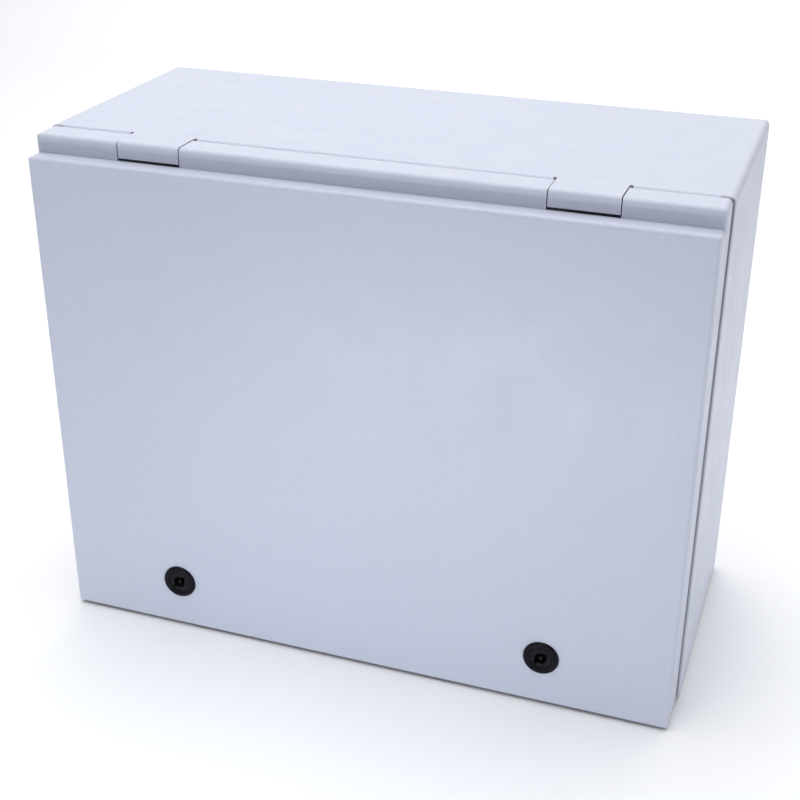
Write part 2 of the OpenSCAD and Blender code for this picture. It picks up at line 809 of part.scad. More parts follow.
// Relay that watches the mains phases, with a row of lamp windows
module phase_monitor() {
    color([0.30, 0.42, 0.55]) on_rail(phase_monitor_x, middle_rail_z) difference() {
        din_case(36);
        case_terminals([-10, 0, 10]);
        for (z = [-12, 0, 12]) rod_y(10, z, [-case_nose - past, 1.2 - case_nose], 2.2, 24);
        block([-13, 3], [-case_nose - past, 0.8 - case_nose], [-15, 15]);
    }
}

socket_w = 27;
socket_h = 76;
socket_d = 26;

module relay_sockets() {
    color([0.16, 0.17, 0.20]) for (x = relay_xs) on_rail(x, middle_rail_z) difference() {
        block([-socket_w / 2, socket_w / 2], [-socket_d, 0], [-socket_h / 2, socket_h / 2]);
        for (dx = [-5, 5]) for (s = [-1, 1]) {
            rod_y(dx, s * 31, [-socket_d - past, 6 - socket_d], 2.6, 20);
            translate([dx, -14, s > 0 ? socket_h / 2 - entry_depth : -socket_h / 2 - past])
                cylinder(r = 1.8, h = entry_depth + past, $fn = 20);
        }
        block([-12, 12], [-socket_d - past, 3 - socket_d], [-20, 20]);
    }
}

// Plug-in relays seated in the sockets
module relays() {
    color([0.75, 0.80, 0.85]) for (x = relay_xs) on_rail(x, middle_rail_z) {
        rounded_box([-11.5, 11.5], [-60, 3 - socket_d], [-19.5, 19.5], 1.5, 1.5);
    }
}

load_xs = [for (x = pole_xs(4)) generator_x + x + 3.2];
control_xs = [for (k = [0 : 7]) 25 + 10 * k];
load_block_h = 50;
control_block_h = 44;

// A feed-through terminal block with sloped shoulders
module terminal_block(x, w, h, d, r) {
    half = h / 2;
    on_rail(x, bottom_rail_z) difference() {
        along_x([-w / 2, w / 2]) polygon([
            [0, -half], [0, half], [-d + 12, half], [-d, half - 9], [-d, 9 - half], [-d + 12, -half]
        ]);
        for (s = [-1, 1]) {
            translate([0, -30, s > 0 ? half - entry_depth : -half - past])
                cylinder(r = r, h = entry_depth + past, $fn = 24);
            rod_y(0, s * (half - 14), [-d - past, 6 - d], r * 0.8, 20);
        }
    }
}

module terminal_blocks() {
    color([0.70, 0.70, 0.66]) {
        for (x = load_xs) terminal_block(x, 16, load_block_h, 45, 3.6);
        for (x = control_xs) terminal_block(x, 9, control_block_h, 45, 1.9);
        for (x = [load_xs[0] - 13, load_xs[3] + 13, control_xs[0] - 9.5, control_xs[7] + 9.5])
            on_rail(x, bottom_rail_z) block([-4, 4], [-28, 0], [-24, 24]);
    }
}

bar_x = [115, 163];
bar_z = 57;
bar_y = [-16, -6];

module earth_bar() {
    color([0.82, 0.66, 0.28]) translate([0, plate_y, 0]) difference() {
        union() {
            block(bar_x, bar_y, [bar_z - 5, bar_z + 5]);
            for (x = [bar_x[0], bar_x[1] - 8]) block([x, x + 8], [-6, 0], [bar_z - 5, bar_z + 5]);
        }
        for (x = [bar_x[0] + 6 : 12 : bar_x[1]])
            translate([x, (bar_y[0] + bar_y[1]) / 2, bar_z - 10]) cylinder(r = 2.4, h = 20, $fn = 24);
    }
}

// A slotted screw on an axis along Y, its head at y0
module well_screw(x, z, y, r, length) {
    difference() {
        rod_y(x, z, [y, y + length], r, 20);
        block([x - r, x + r], [y - past, y + 1], [z - 0.4, z + 0.4]);
    }
}

module terminal_screws() {
    well = rail_y - case_shoulder + screw_bore_d;
    color("silver") {
        for (d = [[mains_x, 4], [generator_x, 4], [control_breaker_x, 2]])
            for (x = pole_xs(d[1])) for (s = [-1, 1])
                well_screw(d[0] + x, top_rail_z + s * screw_z, well - 6, screw_bore_r - 0.3, 6);
        for (cx = [mains_x, generator_x]) for (x = pole_xs(4)) for (s = [-1, 1])
            well_screw(cx + x, contactor_z + s * 52, plate_y - contactor_step + 3, 3.2, 5);
        for (x = load_xs) for (s = [-1, 1])
            well_screw(x, bottom_rail_z + s * (load_block_h / 2 - 14), rail_y - 41, 2.6, 2);
        for (x = [bar_x[0] + 6 : 12 : bar_x[1]])
            well_screw(x, bar_z, plate_y + bar_y[0] - 2.5, 2.6, 2.5);
    }
}

// ---------------------------------------------------------------- contactors

// Puts a contactor on the plate: its own y = 0 is the plate's front face
module at_contactor(x) {
    translate([x, plate_y, contactor_z]) children();
}

module contactor_base() {
    difference() {
        block([-contactor_w / 2, contactor_w / 2], [-base_d, 0], [-contactor_h / 2, contactor_h / 2]);
        block([-31, 31], [-base_d - past, -4], [-40, 40]);
        // Coil terminals on the upper face
        for (x = coil_entries) translate([x, -18, contactor_h / 2 - entry_depth])
            cylinder(r = 1.8, h = entry_depth + past, $fn = 20);
    }
}

coil_entries = [23, 31];

module contactor_cover() {
    hw = contactor_w / 2;
    hh = contactor_h / 2;
    wall = 4;
    centre_h = 42;
    xs = pole_xs(4);
    difference() {
        union() {
            block([-hw, hw], [-contactor_step, -base_d], [-hh, hh]);
            block([-hw, hw], [-cover_d, -contactor_step], [-centre_h, centre_h]);
            // Barriers between the poles
            for (x = [1 - hw, -pole_w, 0, pole_w, hw - 1])
                block([x - 1, x + 1], [-contactor_step - 10, -contactor_step], [-hh, hh]);
        }
        block([wall - hw, hw - wall], [-cover_d + wall, -base_d + past], [-36, 36]);
        // Window for the carrier's indicator
        block([-7.3, 7.3], [-cover_d - past, 0], [-4.3, 4.3]);
        for (x = xs) for (s = [-1, 1]) {
            // Screw well, cable entry and the fixed contact's slot
            rod_y(x, s * 52, [-contactor_step - 20, -contactor_step + 8], 3.6, 24);
            block([x - 6.8, x + 6.8], [-entry_d - 4, -entry_d + 4],
                  s > 0 ? [hh - entry_depth, hh + past] : [-hh - past, entry_depth - hh]);
            block([x - 4.2, x + 4.2], [-60.1, -57.9], s > 0 ? [30, 47] : [-47, -30]);
        }
        // Cooling slots above the arc chambers
        for (x = xs) for (s = [-1, 1]) for (k = [0 : 3])
            block([x - 5, x + 5], [-92 + 6 * k, -89.5 + 6 * k], s > 0 ? [34, 43] : [-43, -34]);
    }
}

// Bobbin and winding round the core's middle leg
module contactor_coil() {
    difference() {
        rounded_box([-20, 20], [-34, -11], [-20.5, 20.5], 3, 1);
        block([-8.6, 8.6], [-40, 0], [-8.6, 8.6]);
    }
}

// E-shaped laminated core
module contactor_core() {
    block([-8, 8], [-10, -4], [-28, 28]);
    for (z = [[-28, -22], [-8, 8], [22, 28]]) block([-8, 8], [-36, -10], z);
}

module contactor_fixed_contacts() {
    for (x = pole_xs(4)) for (s = [-1, 1])
        block([x - 4, x + 4], [-60, -58], s > 0 ? [13, 46] : [-46, -13]);
}

// Moving carrier with its indicator in the cover's window; it carries the armature's clamp
module contactor_carrier() {
    difference() {
        union() {
            block([-30, 30], [-carrier_top, -carrier_bottom - 4], [-9, 9]);
            block([-10, 10], [-carrier_bottom - 4, -carrier_bottom + 2], [-20, 20]);
            block([-7, 7], [-cover_d - carrier_travel + 0.5, -carrier_top], [-4, 4]);
        }
        for (x = pole_xs(4)) block([x - 4, x + 4], [-67, -65], [-10, 10]);
        block([-8, 8], [-carrier_bottom, -40], [-28, 28]);
    }
}

// Bridge contacts and the armature, which the carrier holds
module contactor_bridge_contacts() {
    for (x = pole_xs(4)) block([x - 4, x + 4], [-67, -65], [-19, 19]);
    block([-8, 8], [-carrier_bottom, -41], [-28, 28]);
}

module mains_contactor_base() { color([0.22, 0.23, 0.25]) at_contactor(mains_x) contactor_base(); }
module mains_contactor_cover() { color([0.86, 0.86, 0.84]) at_contactor(mains_x) contactor_cover(); }
module mains_contactor_coil() { color([0.72, 0.40, 0.20]) at_contactor(mains_x) contactor_coil(); }
module mains_contactor_core() { color([0.5, 0.5, 0.52]) at_contactor(mains_x) contactor_core(); }
module mains_contactor_fixed_contacts() {
    color([0.8, 0.5, 0.3]) at_contactor(mains_x) contactor_fixed_contacts();
}
module mains_contactor_carrier() { color([0.9, 0.45, 0.1]) at_contactor(mains_x) contactor_carrier(); }
module mains_contactor_bridge_contacts() {
    color([0.8, 0.5, 0.3]) at_contactor(mains_x) contactor_bridge_contacts();
}
module generator_contactor_base() {
    color([0.22, 0.23, 0.25]) at_contactor(generator_x) contactor_base();
}
module generator_contactor_cover() {
    color([0.86, 0.86, 0.84]) at_contactor(generator_x) contactor_cover();
}
module generator_contactor_coil() {
    color([0.72, 0.40, 0.20]) at_contactor(generator_x) contactor_coil();
}
module generator_contactor_core() {
    color([0.5, 0.5, 0.52]) at_contactor(generator_x) contactor_core();
}
module generator_contactor_fixed_contacts() {
    color([0.8, 0.5, 0.3]) at_contactor(generator_x) contactor_fixed_contacts();
}
module generator_contactor_carrier() {
    color([0.9, 0.45, 0.1]) at_contactor(generator_x) contactor_carrier();
}
module generator_contactor_bridge_contacts() {
    color([0.8, 0.5, 0.3]) at_contactor(generator_x) contactor_bridge_contacts();
}

// Blocks one contactor while the other is in; it fills the space between the two
module contactor_interlock() {
    gap = (generator_x - mains_x - contactor_w) / 2 - 0.3;
    color([0.55, 0.56, 0.58]) translate([(mains_x + generator_x) / 2, plate_y, contactor_z])
        difference() {
            rounded_box([-gap, gap], [-88, -2], [-32, 32], 2, 1.5);
            for (s = [-1, 1]) rod_y(0, s * 25, [-90, -84], 2.4, 24);
            block([-1.5, 1.5], [-90, -85], [-12, 12]);
        }
}

// ---------------------------------------------------------------- wires

breaker_bottom = top_rail_z - case_h / 2;
contactor_top = contactor_z + contactor_h / 2;
contactor_bottom = contactor_z - contactor_h / 2;
breaker_entry_y = rail_y + case_entry_y;
contactor_entry_y = plate_y - entry_d;
coil_y = plate_y - 18;

// From a breaker's lower entry down to the contactor's upper entry
module feed_wires(cx) {
    for (x = pole_xs(4)) tube(smooth([
        [cx + x, breaker_entry_y, breaker_bottom + entry_depth],
        [cx + x, breaker_entry_y, breaker_bottom - 2],
        [cx + x, breaker_entry_y - 5, breaker_bottom - 12],
        [cx + x, contactor_entry_y + 4, contactor_top + 11],
        [cx + x, contactor_entry_y, contactor_top + 1],
        [cx + x, contactor_entry_y, contactor_top - entry_depth]
    ], 3), power_wire_r);
}

module mains_wires() { color([0.35, 0.22, 0.15]) feed_wires(mains_x); }
module generator_wires() { color([0.12, 0.12, 0.13]) feed_wires(generator_x); }

// Links between the two contactors' lower entries, each one lower and further forward
module load_link(i) {
    x0 = mains_x + pole_xs(4)[i] - 3.2;
    x1 = generator_x + pole_xs(4)[i] - 3.2;
    y = contactor_entry_y - 9 - 7 * i;
    z = contactor_bottom - 10 - 7.5 * i;
    top = contactor_bottom + entry_depth;
    tube(smooth([
        [x0, contactor_entry_y, top], [x0, contactor_entry_y, contactor_bottom - 1],
        [x0, contactor_entry_y, z + 7], [x0 + 1, contactor_entry_y - 4, z + 1.5], [x0 + 8, y, z],
        [x1 - 8, y, z], [x1 - 1, contactor_entry_y - 4, z + 1.5], [x1, contactor_entry_y, z + 7],
        [x1, contactor_entry_y, contactor_bottom - 1], [x1, contactor_entry_y, top]
    ], 3), power_wire_r);
}

module load_wires() {
    block_top = bottom_rail_z + load_block_h / 2;
    color([0.16, 0.20, 0.32]) {
        for (i = [0 : 3]) load_link(i);
        for (x = load_xs) tube(smooth([
            [x, contactor_entry_y, contactor_bottom + entry_depth],
            [x, contactor_entry_y, contactor_bottom - 2],
            [x, contactor_entry_y + 5, contactor_bottom - 14],
            [x, rail_y - 30, block_top + 6], [x, rail_y - 30, block_top - entry_depth]
        ], 3), power_wire_r);
    }
}

// Coil leads leave the controller, turn in the duct and come out of its open end
module coil_lead(from_x, lane, tail) {
    y = rail_y - 32;
    z = middle_duct_z - 4 + 4 * lane;
    tube(smooth(concat([
        [from_x, breaker_entry_y, breaker_bottom + entry_depth],
        [from_x, breaker_entry_y, breaker_bottom - 4],
        [from_x, breaker_entry_y - 1, middle_duct_z + 14],
        [from_x - 4, breaker_entry_y - 5, z + 3.5],
        [from_x - 12, y, z], [14, y, z], [4, y + 2, z + 1], [-4, y + 9, z + 6]
    ], tail), 3), control_wire_r);
}

// The end of a lead: up in an arch, then down into a coil terminal
function near_tail(x, dx, z) = [
    [x + dx, coil_y - 5.5, z - 1.5], [x + 3, coil_y - 2, z], [x + 0.6, coil_y - 0.3, z - 2.2],
    [x, coil_y, contactor_top + 1], [x, coil_y, contactor_top - entry_depth]
];

// The same for the far contactor, behind the power wires
function far_tail(x, z) = [
    [-12, coil_y - 3.5, z - 4], [-22, coil_y + 4, z], [-36, coil_y + 6, z], [x + 9, coil_y + 6, z],
    [x + 2, coil_y + 4.5, z - 1.5], [x, coil_y + 1.5, z - 7],
    [x, coil_y, contactor_top], [x, coil_y, contactor_top - entry_depth]
];

// From the control breaker through two slots of the duct to the phase monitor
module sensing_wire(from_x, slot_x, to_x) {
    top = middle_rail_z + case_h / 2;
    tube(smooth([
        [from_x, breaker_entry_y, breaker_bottom + entry_depth],
        [from_x, breaker_entry_y, breaker_bottom - 5],
        [slot_x, breaker_entry_y + 1, middle_duct_z + 14],
        [(slot_x + to_x) / 2, breaker_entry_y + 4, middle_duct_z],
        [to_x, breaker_entry_y + 1, middle_duct_z - 14], [to_x, breaker_entry_y, top - entry_depth]
    ], 3), control_wire_r);
}

module control_wires() {
    socket_top = middle_rail_z + socket_h / 2;
    socket_bottom = middle_rail_z - socket_h / 2;
    control_top = bottom_rail_z + control_block_h / 2;
    color([0.75, 0.20, 0.16]) {
        for (x = relay_xs) for (dx = [-5, 5]) {
            tube(smooth([
                [x + dx, breaker_entry_y, breaker_bottom + entry_depth],
                [x + dx, breaker_entry_y, breaker_bottom - 6],
                [x + dx, rail_y - 18, middle_duct_z],
                [x + dx, rail_y - 14, socket_top + 4], [x + dx, rail_y - 14, socket_top - entry_depth]
            ], 3), control_wire_r);
            tube(smooth([
                [x + dx, rail_y - 14, socket_bottom + entry_depth],
                [x + dx, rail_y - 14, socket_bottom - 5],
                [x + dx, rail_y - 24, (socket_bottom + control_top) / 2],
                [x + dx, rail_y - 30, control_top + 5], [x + dx, rail_y - 30, control_top - entry_depth]
            ], 3), control_wire_r);
        }
        coil_lead(115, 0, near_tail(generator_x + coil_entries[1], 4.5, 245.5));
        coil_lead(105, 1, near_tail(generator_x + coil_entries[0], 9, 251));
        coil_lead(75, 2, far_tail(mains_x + coil_entries[1], 260));
        coil_lead(45, 3, far_tail(mains_x + coil_entries[0], 264));
        sensing_wire(control_breaker_x - pole_w / 2, 135, phase_monitor_x);
        sensing_wire(control_breaker_x + pole_w / 2, 155, phase_monitor_x + 10);
    }
}

module earth_wire() {
    hole_x = bar_x[1] - 6;
    color([0.45, 0.65, 0.15]) tube(smooth([
        [hole_x, plate_y - 11, bar_z + 2], [hole_x, plate_y - 11, bar_z - 12],
        [hole_x + 1, plate_y - 18, 30], [hole_x + 6, 66, 16], [floor_stud[0] + 1, 50, 12],
        [floor_stud[0], floor_stud[1] + 5.6, sheet + 9]
    ], 4), 2);
}

enclosure_body();
hinge_blocks();
mounting_plate();
plate_nuts();
gland_plate();
gland_plate_gasket();
gland_plate_screws();
body_earth_studs();
din_rails();
rail_screws();
mains_breaker();
generator_breaker();
control_breaker();
terminal_screws();
mains_contactor_base();
mains_contactor_cover();
mains_contactor_coil();
mains_contactor_core();
mains_contactor_fixed_contacts();
generator_contactor_base();
generator_contactor_cover();
generator_contactor_coil();
generator_contactor_core();
generator_contactor_fixed_contacts();
contactor_interlock();
controller_housing();
controller_lens();
phase_monitor();
relay_sockets();
relays();
terminal_blocks();
earth_bar();
wiring_ducts();
duct_covers();
mains_wires();
generator_wires();
load_wires();
control_wires();
earth_wire();
door_shell();
door_seal();
hinge_pins();
lock_housings();
lock_nuts();
door_earth_stud();
earth_strap();
left_lock_rotor();
left_lock_cam();
right_lock_rotor();
right_lock_cam();
mains_breaker_handle();
generator_breaker_handle();
control_breaker_handle();
mains_contactor_carrier();
mains_contactor_bridge_contacts();
generator_contactor_carrier();
generator_contactor_bridge_contacts();
auto_button();
manual_button();
test_button();
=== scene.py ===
"""Looks of the automatic transfer switch: finishes, wiring, seal, braid and small fittings on the CAD frame."""

import json
import math

import bmesh
import bpy
from mathutils import Matrix, Vector


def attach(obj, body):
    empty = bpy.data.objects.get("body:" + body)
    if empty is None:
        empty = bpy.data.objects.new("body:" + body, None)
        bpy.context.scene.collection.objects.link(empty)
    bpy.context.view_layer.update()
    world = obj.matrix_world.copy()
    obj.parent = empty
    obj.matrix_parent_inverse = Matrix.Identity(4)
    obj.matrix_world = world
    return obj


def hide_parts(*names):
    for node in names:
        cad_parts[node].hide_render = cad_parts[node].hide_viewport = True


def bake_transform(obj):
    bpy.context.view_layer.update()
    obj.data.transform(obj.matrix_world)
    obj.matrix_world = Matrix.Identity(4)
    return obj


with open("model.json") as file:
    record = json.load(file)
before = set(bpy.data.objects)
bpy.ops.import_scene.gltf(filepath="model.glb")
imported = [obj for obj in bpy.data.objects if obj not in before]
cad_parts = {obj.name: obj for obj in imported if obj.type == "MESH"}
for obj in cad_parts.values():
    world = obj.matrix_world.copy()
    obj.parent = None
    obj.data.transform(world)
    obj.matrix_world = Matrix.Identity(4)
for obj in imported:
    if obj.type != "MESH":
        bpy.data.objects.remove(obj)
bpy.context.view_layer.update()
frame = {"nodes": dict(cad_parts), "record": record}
NODES = frame["nodes"]
MM = 0.001
PAINT = (0.463, 0.488, 0.580)
# Colours of painted shade: one for the paint's narrow seams and corners, one for the slit beside the door.
PAINTED_SEAM_SHADE, PAINTED_SLIT_SHADE = (0.045, 0.047, 0.065), (0.03, 0.032, 0.045)


# ------------------------------------------------------------------ camera and light

def aim(obj, direction, roll=0.0):
    """Turns a camera or light so that it looks along direction."""
    quat = Vector(direction).to_track_quat("-Z", "Y")
    obj.rotation_mode = "QUATERNION"
    obj.rotation_quaternion = quat @ Matrix.Rotation(math.radians(roll), 4, "Z").to_quaternion()


def make_camera():
    """The photograph's view, from a fit to 15 points on the box."""
    azimuth, elevation = math.radians(19.25), math.radians(26.55)
    data = bpy.data.cameras.new("camera")
    data.lens, data.sensor_width = 62.43, 36.0
    camera = bpy.data.objects.new("camera", data)
    bpy.context.scene.collection.objects.link(camera)
    camera.location = (0.3269, -0.9445, 0.6769)
    aim(camera, (-math.sin(azimuth) * math.cos(elevation),
                 math.cos(azimuth) * math.cos(elevation), -math.sin(elevation)), roll=0.26)
    bpy.context.scene.camera = camera


def area_light(name, place, target, size, power, color=(1, 1, 1)):
    """A soft rectangular light that the camera doesn't see; power in watts."""
    data = bpy.data.lights.new(name, "AREA")
    data.shape, data.size, data.size_y = "RECTANGLE", size[0], size[1]
    data.energy, data.color = power, color
    light = bpy.data.objects.new(name, data)
    bpy.context.scene.collection.objects.link(light)
    light.location = place
    aim(light, Vector(target) - Vector(place))
    light.visible_camera = False


def make_studio():
    """Soft lights over, behind and in front of the box, two low ones for the floor's bounce, and a pale horizon."""
    area_light("overhead", (-0.2, 0.12, 2.2), (-0.1, 0.05, 0), (2.2, 2.0), 48)
    area_light("behind", (0.0, 3.2, 2.0), (0, 3.2, 0), (6.0, 2.4), 90)
    area_light("front_high", (-0.1, -1.6, 2.2), (0, -0.1, 0.3), (2.4, 1.2), 15)
    area_light("low_front", (-0.02, -0.62, 0.03), (-0.02, -0.12, 0.06), (0.5, 0.06), 1.05, (0.9, 0.95, 1.0))
    area_light("low_right", (1.0, 0.1, 0.05), (0.25, 0.0, 0.1), (0.8, 0.1), 2.0, (0.95, 0.97, 1.0))
    world = bpy.data.worlds.new("studio")
    world.use_nodes = True
    tree = world.node_tree
    background = tree.nodes["Background"]
    background.inputs["Strength"].default_value = 0.55
    direction = tree.nodes.new("ShaderNodeTexCoord").outputs["Generated"]
    parts = tree.nodes.new("ShaderNodeSeparateXYZ")
    tree.links.new(direction, parts.inputs["Vector"])
    ramp = tree.nodes.new("ShaderNodeValToRGB")
    horizon, zenith = ramp.color_ramp.elements
    horizon.position, horizon.color = 0.30, (0.94, 0.96, 1.0, 1)
    zenith.position, zenith.color = 0.75, (0.10, 0.105, 0.12, 1)
    tree.links.new(parts.outputs["Z"], ramp.inputs["Fac"])
    tree.links.new(ramp.outputs["Color"], background.inputs["Color"])
    bpy.context.scene.world = world
    bpy.context.scene.view_settings.view_transform = "Standard"


make_camera()
make_studio()


# ------------------------------------------------------------------ materials

class Look:
    """A node material under construction. Textures use object coordinates, in metres."""

    def __init__(self, name, color, roughness, metallic=0.0, **sockets):
        self.material = bpy.data.materials.new(name)
        self.material.use_nodes = True
        self.tree = self.material.node_tree
        self.shader = self.tree.nodes["Principled BSDF"]
        self.color = (*color[:3], 1)
        self.shader.inputs["Base Color"].default_value = self.color
        self.shader.inputs["Roughness"].default_value = roughness
        self.shader.inputs["Metallic"].default_value = metallic
        for key, value in sockets.items():
            self.shader.inputs[key.replace("_", " ")].default_value = value
        self.material.diffuse_color = self.color
        self.coordinates = self.tree.nodes.new("ShaderNodeTexCoord").outputs["Object"]
        self.normal = None

    def node(self, kind, **values):
        node = self.tree.nodes.new(kind)
        for key, value in values.items():
            setattr(node, key, value)
        return node

    def link(self, a, b):
        self.tree.links.new(a, b)

    def stretched(self, scale):
        """Object coordinates with each axis scaled."""
        mapping = self.node("ShaderNodeMapping")
        mapping.inputs["Scale"].default_value = scale
        self.link(self.coordinates, mapping.inputs["Vector"])
        return mapping.outputs["Vector"]

    def noise(self, scale, detail, roughness=0.5, distortion=0.0, stretch=None):
        node = self.node("ShaderNodeTexNoise")
        node.inputs["Scale"].default_value = scale
        node.inputs["Detail"].default_value = detail
        node.inputs["Roughness"].default_value = roughness
        node.inputs["Distortion"].default_value = distortion
        self.link(self.stretched(stretch) if stretch else self.coordinates, node.inputs["Vector"])
        return node.outputs["Fac"]

    def cells(self, scale, output="Distance"):
        node = self.node("ShaderNodeTexVoronoi")
        node.inputs["Scale"].default_value = scale
        self.link(self.coordinates, node.inputs["Vector"])
        return node.outputs[output]

    def wave(self, scale, direction, distortion=0.0, stretch=None):
        node = self.node("ShaderNodeTexWave", bands_direction=direction)
        node.inputs["Scale"].default_value = scale
        node.inputs["Distortion"].default_value = distortion
        self.link(self.stretched(stretch) if stretch else self.coordinates, node.inputs["Vector"])
        return node.outputs["Fac"]

    def ramp(self, value, low, high, start=0.3, end=0.7):
        """Maps a value from start..end to low..high."""
        node = self.node("ShaderNodeMapRange")
        for key, number in (("From Min", start), ("From Max", end), ("To Min", low), ("To Max", high)):
            node.inputs[key].default_value = number
        self.link(value, node.inputs["Value"])
        return node.outputs["Result"]

    def product(self, a, b):
        """Two values multiplied."""
        node = self.node("ShaderNodeMath", operation="MULTIPLY")
        self.link(a, node.inputs[0])
        self.link(b, node.inputs[1])
        return node.outputs[0]

    def tint(self, value, other, start, end):
        """Mixes the present colour towards another one, from none at start to all of it at end."""
        mix = self.node("ShaderNodeMix", data_type="RGBA")
        mix.inputs["B"].default_value = (*other[:3], 1)
        self.link(self.ramp(value, 0, 1, start, end), mix.inputs["Factor"])
        socket = self.shader.inputs["Base Color"]
        if socket.is_linked:
            self.link(socket.links[0].from_socket, mix.inputs["A"])
        else:
            mix.inputs["A"].default_value = self.color
        result = next(o for o in mix.outputs if o.type == "RGBA")
        self.link(result, socket)

    def gloss(self, value, low, high):
        """Roughness that follows a texture value."""
        self.link(self.ramp(value, low, high), self.shader.inputs["Roughness"])

    def bump(self, value, depth, strength):
        """Adds relief, depth in metres."""
        node = self.node("ShaderNodeBump")
        node.inputs["Distance"].default_value = depth
        node.inputs["Strength"].default_value = strength
        self.link(value, node.inputs["Height"])
        if self.normal:
            self.link(self.normal, node.inputs["Normal"])
        self.normal = node.outputs["Normal"]
        self.link(self.normal, self.shader.inputs["Normal"])


def slit_shade_mask(look):
    """Mask of the painted slit shade: 1 at the box's left and right edges, 0 further in and close to the floor."""
    place = look.node("ShaderNodeSeparateXYZ")
    look.link(look.coordinates, place.inputs["Vector"])
    aside = look.node("ShaderNodeMath", operation="ABSOLUTE")
    look.link(place.outputs["X"], aside.inputs[0])
    return look.product(look.ramp(aside.outputs[0], 0, 1, 0.2380, 0.2410),
                        look.ramp(place.outputs["Z"], 0, 1, 0.003, 0.008))


def powder_coat(name, slit_shade_painted=False):
    """Fine-structured powder coat: orange peel, a little mottling, painted shade in the narrow seams from an
    ambient-occlusion tint, and, where asked, a painted dark line of shade in the side slit.
    """
    look = Look(name, PAINT, 0.42, Specular_IOR_Level=0.45)
    peel = look.noise(620, 3, 0.55)
    look.tint(look.noise(5, 3), [c * 0.975 for c in PAINT], 0.35, 0.75)
    look.tint(look.noise(260, 2), [c * 0.965 for c in PAINT], 0.45, 0.8)
    # Painted shade: the paint is tinted dark where ambient occlusion finds narrow seams and concave corners.
    seams = look.node("ShaderNodeAmbientOcclusion", samples=6)
    seams.inputs["Distance"].default_value = 0.007
    look.tint(seams.outputs["AO"], PAINTED_SEAM_SHADE, 0.40, 0.15)
    # Painted shade: a dark line is tinted into the body's paint at its left and right front edges, in the slit beside
    # the door, where ambient occlusion finds the door close by.
    if slit_shade_painted:
        shade = look.ramp(seams.outputs["AO"], 0, 1, 0.97, 0.78)
        look.tint(look.product(slit_shade_mask(look), shade), PAINTED_SLIT_SHADE, 0, 1)
    look.gloss(look.noise(38, 4, 0.6, 0.4), 0.36, 0.5)
    look.bump(look.noise(45, 2), 0.00012, 0.25)
    look.bump(peel, 0.00005, 0.8)
    return look.material


def zinc(name, color, spangle=90, contrast=0.12):
    """Zinc-plated steel: spangle or fine crystals, uneven gloss."""
    look = Look(name, color, 0.36, 0.92)
    look.tint(look.cells(spangle, output="Color"), [c * (1 - contrast) for c in color], 0.2, 0.9)
    look.tint(look.noise(11, 4), [c * 0.88 for c in color], 0.45, 0.8)
    look.gloss(look.noise(spangle * 1.6, 4, 0.6), 0.27, 0.48)
    look.bump(look.noise(900, 2), 0.00002, 0.35)
    return look.material


def moulded(name, color, roughness, grain=900, dirt=0.93, shine=0.5):
    """Moulded plastic: spark-eroded grain and slightly uneven colour; dirt scales the colour in its patches."""
    look = Look(name, color, roughness, Specular_IOR_Level=shine)
    look.tint(look.noise(28, 3), [c * dirt for c in color], 0.4, 0.75)
    look.gloss(look.noise(120, 3), roughness - 0.06, roughness + 0.07)
    look.bump(look.noise(grain, 2, 0.6), 0.00003, 0.7)
    return look.material


def foam():
    """Foamed polyurethane with open pores."""
    look = Look("foam_seal", (0.035, 0.035, 0.038), 0.86, Sheen_Weight=0.25, Sheen_Roughness=0.6)
    look.tint(look.noise(60, 4), (0.055, 0.055, 0.058), 0.45, 0.7)
    pores = look.cells(1500)
    look.tint(pores, (0.02, 0.02, 0.022), 0.0, 0.45)
    look.bump(pores, 0.00025, 0.8)
    look.bump(look.noise(180, 3), 0.0004, 0.4)
    return look.material


def braid_metal():
    """Tinned copper braid, woven at a slant across its width."""
    look = Look("tinned_braid", (0.62, 0.50, 0.40), 0.42, 0.95)
    left = look.wave(330, "DIAGONAL", stretch=(1.0, 0.55, 0.55))
    right = look.wave(330, "DIAGONAL", stretch=(-1.0, 0.55, 0.55))
    weave = look.product(left, right)
    look.tint(weave, (0.80, 0.76, 0.70), 0.1, 0.8)
    look.tint(look.noise(70, 3), (0.45, 0.30, 0.20), 0.55, 0.8)
    look.bump(weave, 0.0004, 0.9)
    return look.material


def contact_metal():
    """Copper contacts and bars, unevenly tarnished."""
    look = Look("contact_metal", (0.80, 0.56, 0.28), 0.3, 1.0)
    look.tint(look.noise(55, 4, 0.6, 0.6), (0.42, 0.26, 0.12), 0.42, 0.8)
    look.gloss(look.noise(160, 4), 0.22, 0.46)
    look.bump(look.noise(700, 2, stretch=(1, 1, 6)), 0.00003, 0.5)
    return look.material


def winding():
    """Taped coil with its turns showing."""
    look = Look("coil_tape", (0.50, 0.26, 0.09), 0.38)
    turns = look.wave(420, "Z", 0.6)
    look.tint(turns, (0.30, 0.13, 0.05), 0.3, 0.9)
    look.tint(look.noise(40, 3), (0.62, 0.36, 0.12), 0.5, 0.8)
    look.bump(turns, 0.0003, 0.7)
    return look.material


def laminations():
    """Stacked core sheets, a little rusty."""
    look = Look("core_laminations", (0.30, 0.30, 0.32), 0.42, 0.85)
    sheets = look.wave(310, "X")
    look.tint(sheets, (0.12, 0.12, 0.13), 0.4, 0.95)
    look.tint(look.noise(60, 4), (0.22, 0.17, 0.13), 0.6, 0.85)
    look.bump(sheets, 0.0002, 0.6)
    return look.material


